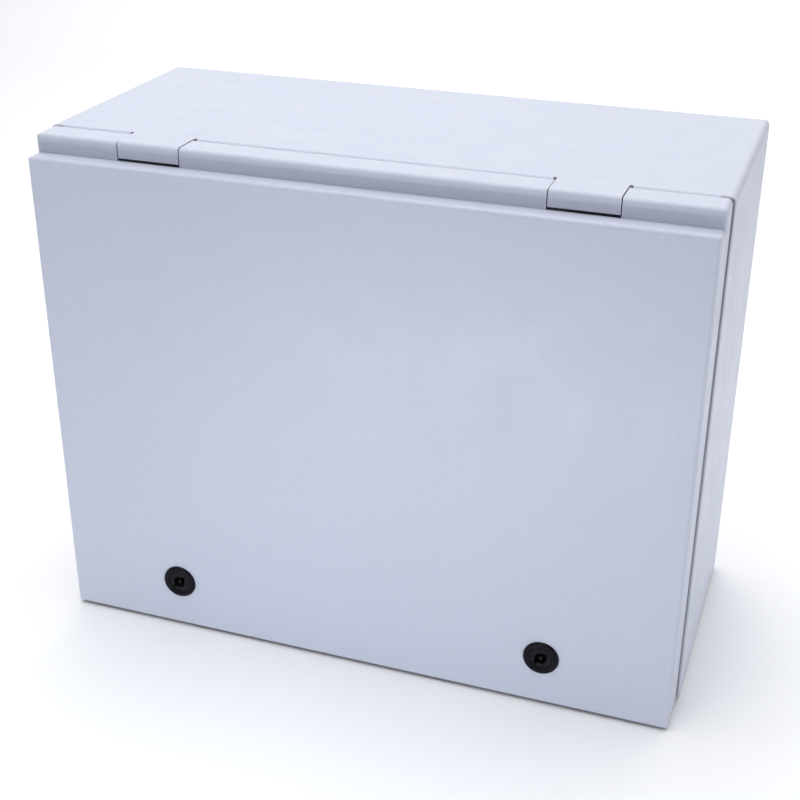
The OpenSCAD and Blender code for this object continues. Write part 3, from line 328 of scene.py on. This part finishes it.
def insulation(name, color, stripe=None):
    """PVC wire insulation, extruded, with a second colour along one side where there is one."""
    look = Look(name, color, 0.36, Specular_IOR_Level=0.5)
    look.tint(look.noise(90, 3), [c * 0.82 for c in color], 0.45, 0.75)
    look.gloss(look.noise(300, 2), 0.3, 0.44)
    if stripe:
        look.tint(look.wave(120, "X", 0.4), stripe, 0.56, 0.6)
    look.bump(look.noise(1300, 2, stretch=(1, 1, 0.2)), 0.00002, 0.5)
    return look.material


def clear_cover():
    """Clear relay case."""
    look = Look("clear_cover", (0.86, 0.92, 0.95), 0.08, Transmission_Weight=0.92, IOR=1.45)
    look.gloss(look.noise(80, 3), 0.05, 0.14)
    look.bump(look.noise(140, 2), 0.00004, 0.25)
    return look.material


def display():
    """Dark display window with faint rows."""
    look = Look("display_window", (0.012, 0.03, 0.034), 0.12,
                Specular_IOR_Level=0.6, Coat_Weight=0.5, Coat_Roughness=0.05)
    rows = look.wave(95, "Z")
    look.tint(rows, (0.02, 0.055, 0.06), 0.55, 0.95)
    look.gloss(look.noise(50, 3), 0.08, 0.18)
    return look.material


def cast_insert():
    """Blackened die-cast lock insert."""
    look = Look("lock_insert", (0.006, 0.006, 0.008), 0.34, Specular_IOR_Level=0.14)
    look.tint(look.noise(240, 4), (0.014, 0.014, 0.017), 0.5, 0.85)
    look.gloss(look.noise(500, 3), 0.26, 0.46)
    look.bump(look.noise(1100, 3), 0.00004, 0.8)
    return look.material


LOOKS = {
    "grey_paint": powder_coat("grey_powder_coat"),
    "galvanised": zinc("galvanised_sheet", (0.50, 0.52, 0.54)),
    "zinc_fastener": zinc("zinc_fastener", (0.62, 0.62, 0.60), 900, 0.2),
    "black_lock": moulded("black_nylon", (0.004, 0.004, 0.006), 0.36, 1100, 1.8, 0.10),
    "lock_insert": cast_insert(),
    "seal_foam": foam(),
    "light_case": moulded("light_case", (0.66, 0.66, 0.64), 0.42),
    "dark_case": moulded("dark_case", (0.045, 0.048, 0.055), 0.48, dirt=1.35),
    "black_handle": moulded("black_handle", (0.012, 0.012, 0.014), 0.26, 500, 1.8),
    "indicator": moulded("orange_indicator", (0.75, 0.20, 0.02), 0.36),
    "winding": winding(),
    "core_steel": laminations(),
    "contact_metal": contact_metal(),
    "relay_clear": clear_cover(),
    "display": display(),
    "blue_case": moulded("blue_case", (0.07, 0.12, 0.20), 0.46, dirt=1.2),
    "terminal_grey": moulded("terminal_grey", (0.38, 0.39, 0.35), 0.5),
    "duct_grey": moulded("duct_grey", (0.36, 0.39, 0.42), 0.5, 700, 0.9),
    "brown_wire": insulation("brown_insulation", (0.10, 0.035, 0.015)),
    "black_wire": insulation("black_insulation", (0.012, 0.012, 0.013)),
    "blue_wire": insulation("blue_insulation", (0.02, 0.06, 0.26)),
    "red_wire": insulation("red_insulation", (0.42, 0.02, 0.015)),
    "earth_wire": insulation("earth_insulation", (0.70, 0.55, 0.02), (0.05, 0.30, 0.04)),
    "braid": braid_metal(),
    "green_button": moulded("green_button", (0.02, 0.26, 0.05), 0.25, 400),
    "amber_button": moulded("amber_button", (0.72, 0.34, 0.02), 0.25, 400),
    "blue_button": moulded("blue_button", (0.02, 0.07, 0.42), 0.25, 400),
}
EXTRA = {
    "white_marker": moulded("white_marker", (0.80, 0.80, 0.77), 0.35, 600, 0.95),
    "lamp_green": moulded("lamp_green", (0.04, 0.42, 0.08), 0.15, 300),
    "lamp_red": moulded("lamp_red", (0.55, 0.02, 0.02), 0.15, 300),
    "lamp_amber": moulded("lamp_amber", (0.75, 0.30, 0.02), 0.15, 300),
    "tinned": zinc("tinned_copper", (0.72, 0.70, 0.66), 700, 0.15),
    "bar_on": moulded("bar_on", (0.10, 0.62, 0.50), 0.3, 400),
    "bar_off": moulded("bar_off", (0.02, 0.07, 0.07), 0.3, 400),
}

for row in frame["record"]["subparts"]:
    data = NODES[row["node"]].data
    data.materials.clear()
    data.materials.append(LOOKS[row["material_slot"]])

# The body's front edges lie in the slit beside the door, and get a painted dark line of shade there, on top of the
# rendered shadow.
NODES["enclosure_body"].data.materials[0] = powder_coat("grey_powder_coat_body", slit_shade_painted=True)


# ------------------------------------------------------------------ mesh helpers

def add_piece(name, bm, body, materials, smooth=True):
    """Turns a bmesh into a named piece that rides on a body."""
    bmesh.ops.recalc_face_normals(bm, faces=bm.faces)
    mesh = bpy.data.meshes.new(name)
    bm.to_mesh(mesh)
    bm.free()
    for material in materials:
        mesh.materials.append(material)
    obj = bpy.data.objects.new(name, mesh)
    bpy.context.scene.collection.objects.link(obj)
    if smooth:
        mesh.shade_smooth()
        mesh.set_sharp_from_angle(angle=math.radians(35))
    if body:
        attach(obj, body)
    return obj


def sweep(bm, path, section, side=Vector((1, 0, 0)), closed=False, material=0):
    """Sweeps a section, a function of the share of the path, along points in metres."""
    n = len(path)
    rings = []
    for i, point in enumerate(path):
        before = path[i - 1] if i or closed else point
        after = path[(i + 1) % n] if closed or i < n - 1 else point
        tangent = (after - before).normalized()
        side = (side - side.dot(tangent) * tangent).normalized()
        up = tangent.cross(side)
        ring = [bm.verts.new(point + side * a + up * b) for a, b in section(i / max(n - 1, 1))]
        rings.append(ring)
    k = len(rings[0])
    for i in range(n if closed else n - 1):
        a, b = rings[i], rings[(i + 1) % n]
        for j in range(k):
            face = bm.faces.new((a[j], a[(j + 1) % k], b[(j + 1) % k], b[j]))
            face.material_index = material
    if not closed:
        for ring in (list(reversed(rings[0])), rings[-1]):
            bm.faces.new(ring).material_index = material


def circle_section(radius, sides):
    """A round section, in metres."""
    ring = [(math.cos(2 * math.pi * j / sides), math.sin(2 * math.pi * j / sides)) for j in range(sides)]
    return lambda share: [(radius * a, radius * b) for a, b in ring]


def heading(p, i):
    """The curve's direction at point i."""
    if i == 0:
        return (p[1] - p[0]).normalized()
    if i == len(p) - 1:
        return (p[i] - p[i - 1]).normalized()
    a, b = (p[i] - p[i - 1]).length, (p[i + 1] - p[i]).length
    return ((p[i] - p[i - 1]) * (b / a) + (p[i + 1] - p[i]) * (a / b)) / (a + b)


def smooth_path(points, steps):
    """The same curve as the CAD wires follow, in metres, with more steps."""
    p = [Vector(q) * MM for q in points]
    path = []
    for i in range(len(p) - 1):
        d = p[i + 1] - p[i]
        a, b = heading(p, i) * d.length, heading(p, i + 1) * d.length
        for k in range(steps):
            t = k / steps
            path.append(p[i] + t * a + t * t * (3 * d - 2 * a - b) + t ** 3 * (a + b - 2 * d))
    return path + [p[-1]]


def wire(bm, points, radius, sides, steps):
    """One insulated wire along its points; radius in mm."""
    sweep(bm, smooth_path(points, steps), circle_section(radius * MM, sides))


def rounded_plate(bm, centre, size, radius, material=0, steps=5):
    """A thin plate with rounded corners; centre and size in mm, size as (x, thickness, z)."""
    x, t, z = (s / 2 for s in size)
    outline = []
    for cx, cz, start in ((x - radius, z - radius, 0), (radius - x, z - radius, 90),
                          (radius - x, radius - z, 180), (x - radius, radius - z, 270)):
        for k in range(steps + 1):
            a = math.radians(start + 90 * k / steps)
            outline.append((cx + radius * math.cos(a), cz + radius * math.sin(a)))
    chamfer = min(t * 0.6, radius * 0.6, 0.25)
    rings = []
    for depth, inset in ((t, 0.0), (-t + chamfer, 0.0), (-t, chamfer)):
        fx, fz = (x - inset) / x, (z - inset) / z
        rings.append([bm.verts.new((Vector(centre) + Vector((a * fx, depth, b * fz))) * MM) for a, b in outline])
    k = len(outline)
    for a, b in zip(rings, rings[1:]):
        for j in range(k):
            bm.faces.new((a[j], a[(j + 1) % k], b[(j + 1) % k], b[j])).material_index = material
    bm.faces.new(rings[0]).material_index = material
    bm.faces.new(list(reversed(rings[-1]))).material_index = material


def lathe_y(bm, centre, profile, sides=32, material=0):
    """Turns a profile of (radius, y) in mm round an axis along Y; ends on the axis close to a point."""
    rings = []
    for r, y in profile:
        if r < 1e-6:
            rings.append([bm.verts.new((Vector(centre) + Vector((0, y, 0))) * MM)])
        else:
            rings.append([bm.verts.new((Vector(centre) + Vector((r * math.cos(2 * math.pi * j / sides), y,
                                                                r * math.sin(2 * math.pi * j / sides)))) * MM)
                          for j in range(sides)])
    for a, b in zip(rings, rings[1:]):
        for j in range(sides):
            k = (j + 1) % sides
            if len(a) == 1:
                corners = (a[0], b[j], b[k])
            elif len(b) == 1:
                corners = (a[j], a[k], b[0])
            else:
                corners = (a[j], a[k], b[k], b[j])
            bm.faces.new(corners).material_index = material


def lathe_z(bm, centre, profile, sides=32, material=0):
    """Turns a profile of (radius, z) in mm round an axis along Z."""
    turned = bmesh.new()
    lathe_y(turned, (0, 0, 0), profile, sides, material)
    turned.transform(Matrix.Translation([c * MM for c in centre]) @ Matrix.Rotation(math.radians(90), 4, "X"))
    mesh = bpy.data.meshes.new("turned")
    turned.to_mesh(mesh)
    turned.free()
    bm.from_mesh(mesh)
    bpy.data.meshes.remove(mesh)


# ------------------------------------------------------------------ wiring

RAIL_Y, ENTRY_Y, COIL_Y, CONTACTOR_Y = 94, 70, 83.5, 51.5
BREAKER_BOTTOM, CONTACTOR_TOP, CONTACTOR_BOTTOM, DEPTH = 270, 240, 120, 8
MAINS_X, GENERATOR_X, CONTROL_X, DUCT_Z = -125, -45, 147, 237
POLES = (-27, -9, 9, 27)
TAP = 3.2          # the links and load wires share a contactor terminal, this far left and right of its middle
LOAD_Y = RAIL_Y - 30
RELAY_Y = RAIL_Y - 14


def feed(cx, pole):
    """From a breaker's foot down to its contactor's head."""
    x = cx + pole
    return [(x, ENTRY_Y, BREAKER_BOTTOM + DEPTH), (x, ENTRY_Y, BREAKER_BOTTOM - 2),
            (x, ENTRY_Y - 5, BREAKER_BOTTOM - 12), (x, CONTACTOR_Y + 4, CONTACTOR_TOP + 11),
            (x, CONTACTOR_Y, CONTACTOR_TOP + 1), (x, CONTACTOR_Y, CONTACTOR_TOP - DEPTH)]


def link(i):
    """Joins the two contactors' feet, pole by pole."""
    x0, x1 = MAINS_X + POLES[i] - TAP, GENERATOR_X + POLES[i] - TAP
    y, z, top = CONTACTOR_Y - 9 - 7 * i, CONTACTOR_BOTTOM - 10 - 7.5 * i, CONTACTOR_BOTTOM + DEPTH
    down = [(x0, CONTACTOR_Y, top), (x0, CONTACTOR_Y, CONTACTOR_BOTTOM - 1), (x0, CONTACTOR_Y, z + 7),
            (x0 + 1, CONTACTOR_Y - 4, z + 1.5), (x0 + 8, y, z)]
    up = [(x1 - 8, y, z), (x1 - 1, CONTACTOR_Y - 4, z + 1.5), (x1, CONTACTOR_Y, z + 7),
          (x1, CONTACTOR_Y, CONTACTOR_BOTTOM - 1), (x1, CONTACTOR_Y, top)]
    return down + up


def load(pole):
    """From the generator contactor's foot to the load terminals."""
    x = GENERATOR_X + pole + TAP
    return [(x, CONTACTOR_Y, CONTACTOR_BOTTOM + DEPTH), (x, CONTACTOR_Y, CONTACTOR_BOTTOM - 2),
            (x, CONTACTOR_Y + 5, CONTACTOR_BOTTOM - 14), (x, LOAD_Y, 94), (x, LOAD_Y, 80)]


def coil_lead(x, lane, tail):
    """From the controller through the duct in its own lane, and on to a coil by its tail."""
    y, z = RAIL_Y - 32, DUCT_Z - 4 + 4 * lane
    return [(x, ENTRY_Y, BREAKER_BOTTOM + DEPTH), (x, ENTRY_Y, BREAKER_BOTTOM - 4), (x, ENTRY_Y - 1, DUCT_Z + 14),
            (x - 4, ENTRY_Y - 5, z + 3.5), (x - 12, y, z), (14, y, z), (4, y + 2, z + 1), (-4, y + 9, z + 6)] + tail


def near_tail(x, dx, z):
    """Into the generator contactor's coil terminal at x."""
    return [(x + dx, COIL_Y - 5.5, z - 1.5), (x + 3, COIL_Y - 2, z), (x + 0.6, COIL_Y - 0.3, z - 2.2),
            (x, COIL_Y, CONTACTOR_TOP + 1), (x, COIL_Y, CONTACTOR_TOP - DEPTH)]


def far_tail(x, z):
    """Behind the generator contactor's head and into the mains contactor's coil terminal at x."""
    return [(-12, COIL_Y - 3.5, z - 4), (-22, COIL_Y + 4, z), (-36, COIL_Y + 6, z), (x + 9, COIL_Y + 6, z),
            (x + 2, COIL_Y + 4.5, z - 1.5), (x, COIL_Y + 1.5, z - 7),
            (x, COIL_Y, CONTACTOR_TOP), (x, COIL_Y, CONTACTOR_TOP - DEPTH)]


def sensing(x, slot_x, to_x):
    """From the control breaker through a slot of the duct to the phase monitor."""
    return [(x, ENTRY_Y, BREAKER_BOTTOM + DEPTH), (x, ENTRY_Y, BREAKER_BOTTOM - 5), (slot_x, ENTRY_Y + 1, DUCT_Z + 14),
            ((slot_x + to_x) / 2, ENTRY_Y + 4, DUCT_Z), (to_x, ENTRY_Y + 1, DUCT_Z - 14), (to_x, ENTRY_Y, 212)]


def control_paths():
    """Controller to relays to terminals, coil leads, and the phase monitor's two wires."""
    paths = []
    for x in (25, 35, 55, 65, 85, 95):
        paths.append([(x, ENTRY_Y, BREAKER_BOTTOM + DEPTH), (x, ENTRY_Y, BREAKER_BOTTOM - 6), (x, RAIL_Y - 18, DUCT_Z),
                      (x, RELAY_Y, 217), (x, RELAY_Y, 205)])
        paths.append([(x, RELAY_Y, 145), (x, RELAY_Y, 132), (x, RAIL_Y - 24, 111), (x, LOAD_Y, 90), (x, LOAD_Y, 77)])
    paths.append(coil_lead(115, 0, near_tail(GENERATOR_X + 31, 4.5, 245.5)))
    paths.append(coil_lead(105, 1, near_tail(GENERATOR_X + 23, 9, 251)))
    paths.append(coil_lead(75, 2, far_tail(MAINS_X + 31, 260)))
    paths.append(coil_lead(45, 3, far_tail(MAINS_X + 23, 264)))
    paths.append(sensing(138, 135, 135))
    paths.append(sensing(156, 155, 145))
    return paths


EARTH_PATH = [(157, 90.5, 59), (157, 90.5, 45), (158, 83.5, 30), (163, 66, 16), (177, 50, 12), (176, 35.6, 10.5)]


def make_wires():
    """Each group of wires replaces the CAD node that its name starts with."""
    groups = [
        ("mains_wires", [feed(MAINS_X, p) for p in POLES], 2.6, "brown_wire"),
        ("generator_wires", [feed(GENERATOR_X, p) for p in POLES], 2.6, "black_wire"),
        ("load_wires", [link(i) for i in range(4)] + [load(p) for p in POLES], 2.6, "blue_wire"),
        ("control_wires", control_paths(), 1.2, "red_wire"),
        ("earth_wire", [EARTH_PATH], 2.0, "earth_wire"),
    ]
    for node, paths, radius, slot in groups:
        bm = bmesh.new()
        for points in paths:
            wire(bm, points, radius, 14 if radius < 2 else 18, 6)
        piece = add_piece(node + "_insulated", bm, "enclosure", [LOOKS[slot]])
        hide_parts(node)


make_wires()


STRAP_PATH = [(200, -110.2, 346), (200, -110.2, 336), (200, -105, 323), (200, -92, 319), (200, -78, 328),
              (200, -68, 348), (200, -63.5, 370), (200, -62, 384), (200, -59.6, 391), (200, -56, 393.3),
              (200, -54, 393.3)]


def flat_section(width, thickness):
    """A flat section with rounded edges; width and thickness in mm."""
    w, t, steps = width / 2 * MM, thickness / 2 * MM, 9
    ring = []
    for k in range(steps + 1):
        a = math.pi * (k / steps - 0.5)
        ring.append((w - t + t * math.cos(a), t * math.sin(a)))
    ring = ring + [(-a, -b) for a, b in ring]
    return lambda share: ring


def braid_section(share):
    """The braid's section: slightly fuller in its middle, rippled by the plait along its length."""
    ripple = 0.05 * math.sin(share * 2 * math.pi * 46)
    w, t, ring = 5.75 * MM, (0.72 + ripple) * MM, []
    for k in range(14):
        u = -1 + 2 * k / 13
        edge = math.sqrt(max(0.0, 1 - u ** 6))
        ring.append((w * u, -t * (0.25 + 0.75 * edge)))
    return ring + [(a, -b) for a, b in reversed(ring)]


def lug_ring(start):
    """Section of a lug's ring, 1.6 mm thick from start on along its axis."""
    return [(r, start + d) for r, d in ((3.1, 0), (6, 0), (6.1, 0.2), (6.1, 1.4), (6, 1.6), (3.1, 1.6), (3.1, 0))]


def make_strap():
    """Tinned braid with a crimped lug at each end, from the top sheet's stud to the door's."""
    bm = bmesh.new()
    path = smooth_path(STRAP_PATH, 14)
    sweep(bm, path, braid_section)
    for crimp in (path[3:15], path[-17:-4]):
        sweep(bm, crimp, flat_section(12.4, 2.1), material=1)
    lathe_y(bm, (200, 0, 350), lug_ring(-111), material=1)
    lathe_z(bm, (200, -50, 0), lug_ring(392.5), material=1)
    bmesh.ops.remove_doubles(bm, verts=bm.verts, dist=1e-7)
    strap = add_piece("earth_strap_braided", bm, None, [LOOKS["braid"], EXTRA["tinned"]])
    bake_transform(strap)
    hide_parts("earth_strap")


make_strap()


# ------------------------------------------------------------------ seal

def ring_path(x, low, high, radius):
    """A rounded rectangle in the door's plane, in mm, at y = 0, with a point every 12 mm or less."""
    points, steps = [], 8
    for cx, cz, start in ((x - radius, high - radius, 0), (radius - x, high - radius, 90),
                          (radius - x, low + radius, 180), (x - radius, low + radius, 270)):
        for k in range(steps + 1):
            a = math.radians(start + 90 * k / steps)
            points.append(Vector((cx + radius * math.cos(a), 0, cz + radius * math.sin(a))))
    full = []
    for a, b in zip(points, points[1:] + points[:1]):
        n = max(1, int((b - a).length / 12))
        full += [a.lerp(b, k / n) for k in range(n)]
    return full


def make_seal():
    """Foamed-in-place bead: rounded back, flat foot, and the shallow line that the lip has pressed in it."""
    bm = bmesh.new()
    middle, half, rise, n = -111, 4.95, 3.95, 16
    path = [(p + Vector((0, middle, 0))) * MM for p in ring_path(227.25, 22.75, 377.25, 8)]
    crown = []
    for k in range(n + 1):
        u = -1 + 2 * k / n
        back = rise * max(0.0, 1 - abs(u) ** 3.2) ** 0.6
        pressed = 0.55 * math.exp(-(u / 0.16) ** 2)
        crown.append((half * u * MM, (back - pressed) * MM))
    foot = [(half * MM, -rise * MM), (-half * MM, -rise * MM)]
    tangent = (path[1] - path[0]).normalized()
    inward = Vector((0, 1, 0)).cross(tangent)
    sweep(bm, path, lambda share: crown + foot, inward, closed=True)
    if sum(1 for v in bm.verts if v.co.y > middle * MM) < len(bm.verts) / 2:
        for v in bm.verts:
            v.co.y = 2 * middle * MM - v.co.y
    seal = add_piece("door_seal_bead", bm, "door", [LOOKS["seal_foam"]])
    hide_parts("door_seal")


make_seal()


# ------------------------------------------------------------------ small fittings on the devices

CONTROLLER_FACE, MONITOR_FACE, BREAKER_FACE, CONTACTOR_FACE, TERMINAL_FACE = 28, 29.2, 27.9, 1.4, 48.9
LAMP_LOOKS = [EXTRA["lamp_green"], EXTRA["lamp_amber"], EXTRA["lamp_red"]]


def dome(bm, centre, radius, height, material):
    """A lens that bulges towards the front, on a face at the centre's y."""
    profile = [(radius, 0.15)] + [(radius * math.cos(a), -height * math.sin(a))
                                  for a in (math.radians(10 * k) for k in range(9))] + [(0, -height)]
    lathe_y(bm, centre, profile, 24, material)


def bezel(bm, centre, inner, outer, height, sides=32):
    """A raised ring with chamfered edges."""
    lathe_y(bm, centre, [(inner, 0.1), (outer, 0.1), (outer, -height * 0.6), (outer - height * 0.4, -height),
                         (inner + height * 0.4, -height), (inner, -height * 0.6), (inner, 0.1)], sides)


def make_controller_details():
    """Source lamps over the buttons, a ring round each button, a frame and bars on the display."""
    face, columns, lamp_z, button_z = CONTROLLER_FACE, (88, 101, 114), 323, 307
    bm = bmesh.new()
    for colour, x in enumerate(columns):
        dome(bm, (x, face, lamp_z), 1.7, 0.9, colour)
    add_piece("controller_lamps", bm, "enclosure", LAMP_LOOKS)
    bm = bmesh.new()
    for x in columns:
        bezel(bm, (x, face, button_z), 4.45, 5.5, 0.8)
        bezel(bm, (x, face, lamp_z), 1.85, 2.5, 0.5, 24)
    add_piece("controller_rings", bm, "enclosure", [LOOKS["black_handle"]])
    bm = bmesh.new()
    for cx, cz, w, h in ((52, 315 + 16.2, 56, 2), (52, 315 - 16.2, 56, 2), (24.8, 315, 2, 30.4), (79.2, 315, 2, 30.4)):
        rounded_plate(bm, (cx, face - 0.25, cz), (w, 0.7, h), 0.9)
    add_piece("display_frame", bm, "enclosure", [LOOKS["black_handle"]])
    bm = bmesh.new()
    for row, lit in enumerate((6, 4, 7)):
        for k in range(8):
            rounded_plate(bm, (31 + 5 * k, face - 0.05, 325 - 8 * row), (3.6, 0.12, 3.2), 0.4,
                          material=0 if k < lit else 1, steps=3)
    add_piece("display_bars", bm, "enclosure", [EXTRA["bar_on"], EXTRA["bar_off"]])


def make_monitor_details():
    """Three lamps and a blank marker on the phase monitor."""
    bm = bmesh.new()
    for colour, z in enumerate((187, 175, 163)):
        dome(bm, (145, MONITOR_FACE, z), 2.0, 1.0, colour)
    add_piece("monitor_lamps", bm, "enclosure", LAMP_LOOKS)
    bm = bmesh.new()
    rounded_plate(bm, (130, MONITOR_FACE - 0.6, 175), (15, 0.5, 29), 1.0)
    add_piece("monitor_marker", bm, "enclosure", [EXTRA["white_marker"]])


def make_breaker_details():
    """A blank marker over each pole's handle, and a green position window under it."""
    for name, cx, poles in (("mains", MAINS_X, 4), ("generator", GENERATOR_X, 4), ("control", CONTROL_X, 2)):
        bm = bmesh.new()
        for i in range(poles):
            x = cx + (i - (poles - 1) / 2) * 18
            rounded_plate(bm, (x, BREAKER_FACE, 332.5), (14, 0.4, 6), 0.6)
            rounded_plate(bm, (x, BREAKER_FACE + 0.05, 297), (5, 0.3, 3), 0.4, material=1, steps=3)
        add_piece(name + "_breaker_markers", bm, "enclosure", [EXTRA["white_marker"], EXTRA["lamp_green"]])


def make_contactor_details():
    """Two blank markers and four cover screws on each contactor."""
    screw = [(2.6, 0.2), (2.6, -0.5), (2.2, -0.9), (0.7, -0.9), (0.7, -0.2), (0, -0.2)]
    for name, cx in (("mains", MAINS_X), ("generator", GENERATOR_X)):
        bm = bmesh.new()
        rounded_plate(bm, (cx, CONTACTOR_FACE, 206), (40, 0.4, 11), 1.0)
        rounded_plate(bm, (cx, CONTACTOR_FACE, 154), (40, 0.4, 6), 1.0)
        for dx in (-28, 28):
            for dz in (-38, 38):
                lathe_y(bm, (cx + dx, CONTACTOR_FACE + 0.1, 180 + dz), screw, 24, 1)
        add_piece(name + "_contactor_markers", bm, "enclosure", [EXTRA["white_marker"], LOOKS["zinc_fastener"]])


def make_terminal_markers():
    """A blank marker on each terminal."""
    bm = bmesh.new()
    for pole in POLES:
        rounded_plate(bm, (GENERATOR_X + pole + TAP, TERMINAL_FACE, 63), (10, 0.4, 6), 0.5)
    for k in range(8):
        rounded_plate(bm, (25 + 10 * k, TERMINAL_FACE, 63), (6, 0.4, 6), 0.5)
    add_piece("terminal_markers", bm, "enclosure", [EXTRA["white_marker"]])


def make_relay_details():
    """What shows through each clear relay case: coil, yoke, armature, contact springs."""
    turns = [(4.45 + 0.18 * math.cos(k * math.pi), -7 + 14 * k / 23) for k in range(24)]
    coil = [(0, -8), (5.2, -8), (5.2, -7.2)] + turns + [(5.2, 7.2), (5.2, 8), (0, 8)]
    for i, x in enumerate((30, 60, 90)):
        bm = bmesh.new()
        lathe_z(bm, (x, 58, 171), coil, 24)
        for centre, size in (((x, 64.5, 172), (12, 1.6, 22)), ((x, 57, 183.6), (12, 14, 1.6)),
                             ((x, 50.5, 172), (9, 1.2, 20))):
            rounded_plate(bm, centre, size, 0.6, material=1)
        for dx in (-7.5, 7.5):
            rounded_plate(bm, (x + dx, 45, 174), (3, 0.5, 24), 0.5, material=2)
            lathe_y(bm, (x + dx, 44.7, 184), [(1.2, 0), (1.2, -0.8), (0.6, -1.2), (0, -1.2)], 16, 2)
        rounded_plate(bm, (x, 66.5, 158.5), (19, 6, 4), 0.8, material=3)
        add_piece("relay_inside_%d" % (i + 1), bm, "enclosure",
                  [LOOKS["winding"], LOOKS["zinc_fastener"], LOOKS["contact_metal"], LOOKS["dark_case"]])


def make_wire_sleeves():
    """Blank marker sleeves on the power wires, just under the breakers and over the load terminals."""
    bm, ring = bmesh.new(), circle_section(3.05 * MM, 20)
    for cx in (MAINS_X, GENERATOR_X):
        for pole in POLES:
            sweep(bm, smooth_path(feed(cx, pole), 12)[9:16], ring)
    for pole in POLES:
        sweep(bm, smooth_path(load(pole), 12)[38:44], ring)
    add_piece("wire_sleeves", bm, "enclosure", [EXTRA["white_marker"]])


make_controller_details()
make_monitor_details()
make_breaker_details()
make_contactor_details()
make_terminal_markers()
make_relay_details()
make_wire_sleeves()


# ------------------------------------------------------------------ edges

# Width in mm of the small rounding on each moulded piece.
EDGES = {
    "mains_breaker": 0.5, "generator_breaker": 0.5, "control_breaker": 0.5, "controller_housing": 0.6,
    "phase_monitor": 0.5, "relay_sockets": 0.4, "terminal_blocks": 0.35, "mains_breaker_handle": 0.5,
    "generator_breaker_handle": 0.5, "control_breaker_handle": 0.5, "mains_contactor_base": 0.5,
    "generator_contactor_base": 0.5, "mains_contactor_cover": 0.4, "generator_contactor_cover": 0.4,
    "earth_bar": 0.3, "left_lock_cam": 0.3, "right_lock_cam": 0.3, "auto_button": 0.4, "manual_button": 0.4,
    "test_button": 0.4,
}
for name, width in EDGES.items():
    modifier = NODES[name].modifiers.new("edge", "BEVEL")
    modifier.width, modifier.segments = width * MM, 2
    modifier.limit_method, modifier.angle_limit = "ANGLE", math.radians(50)


# ------------------------------------------------------------------ floor

def make_floor():
    """A plain pale floor, 9 m square, just under the box."""
    half, below = 4.5, -0.0006
    bm = bmesh.new()
    bm.faces.new([bm.verts.new((x, y, below)) for x, y in ((-half, -half), (half, -half), (half, half), (-half, half))])
    look = Look("pale_floor", (0.93, 0.935, 0.945), 0.7)
    look.tint(look.noise(3, 2), (0.91, 0.915, 0.925), 0.4, 0.8)
    floor = add_piece("floor", bm, None, [look.material], smooth=False)


make_floor()
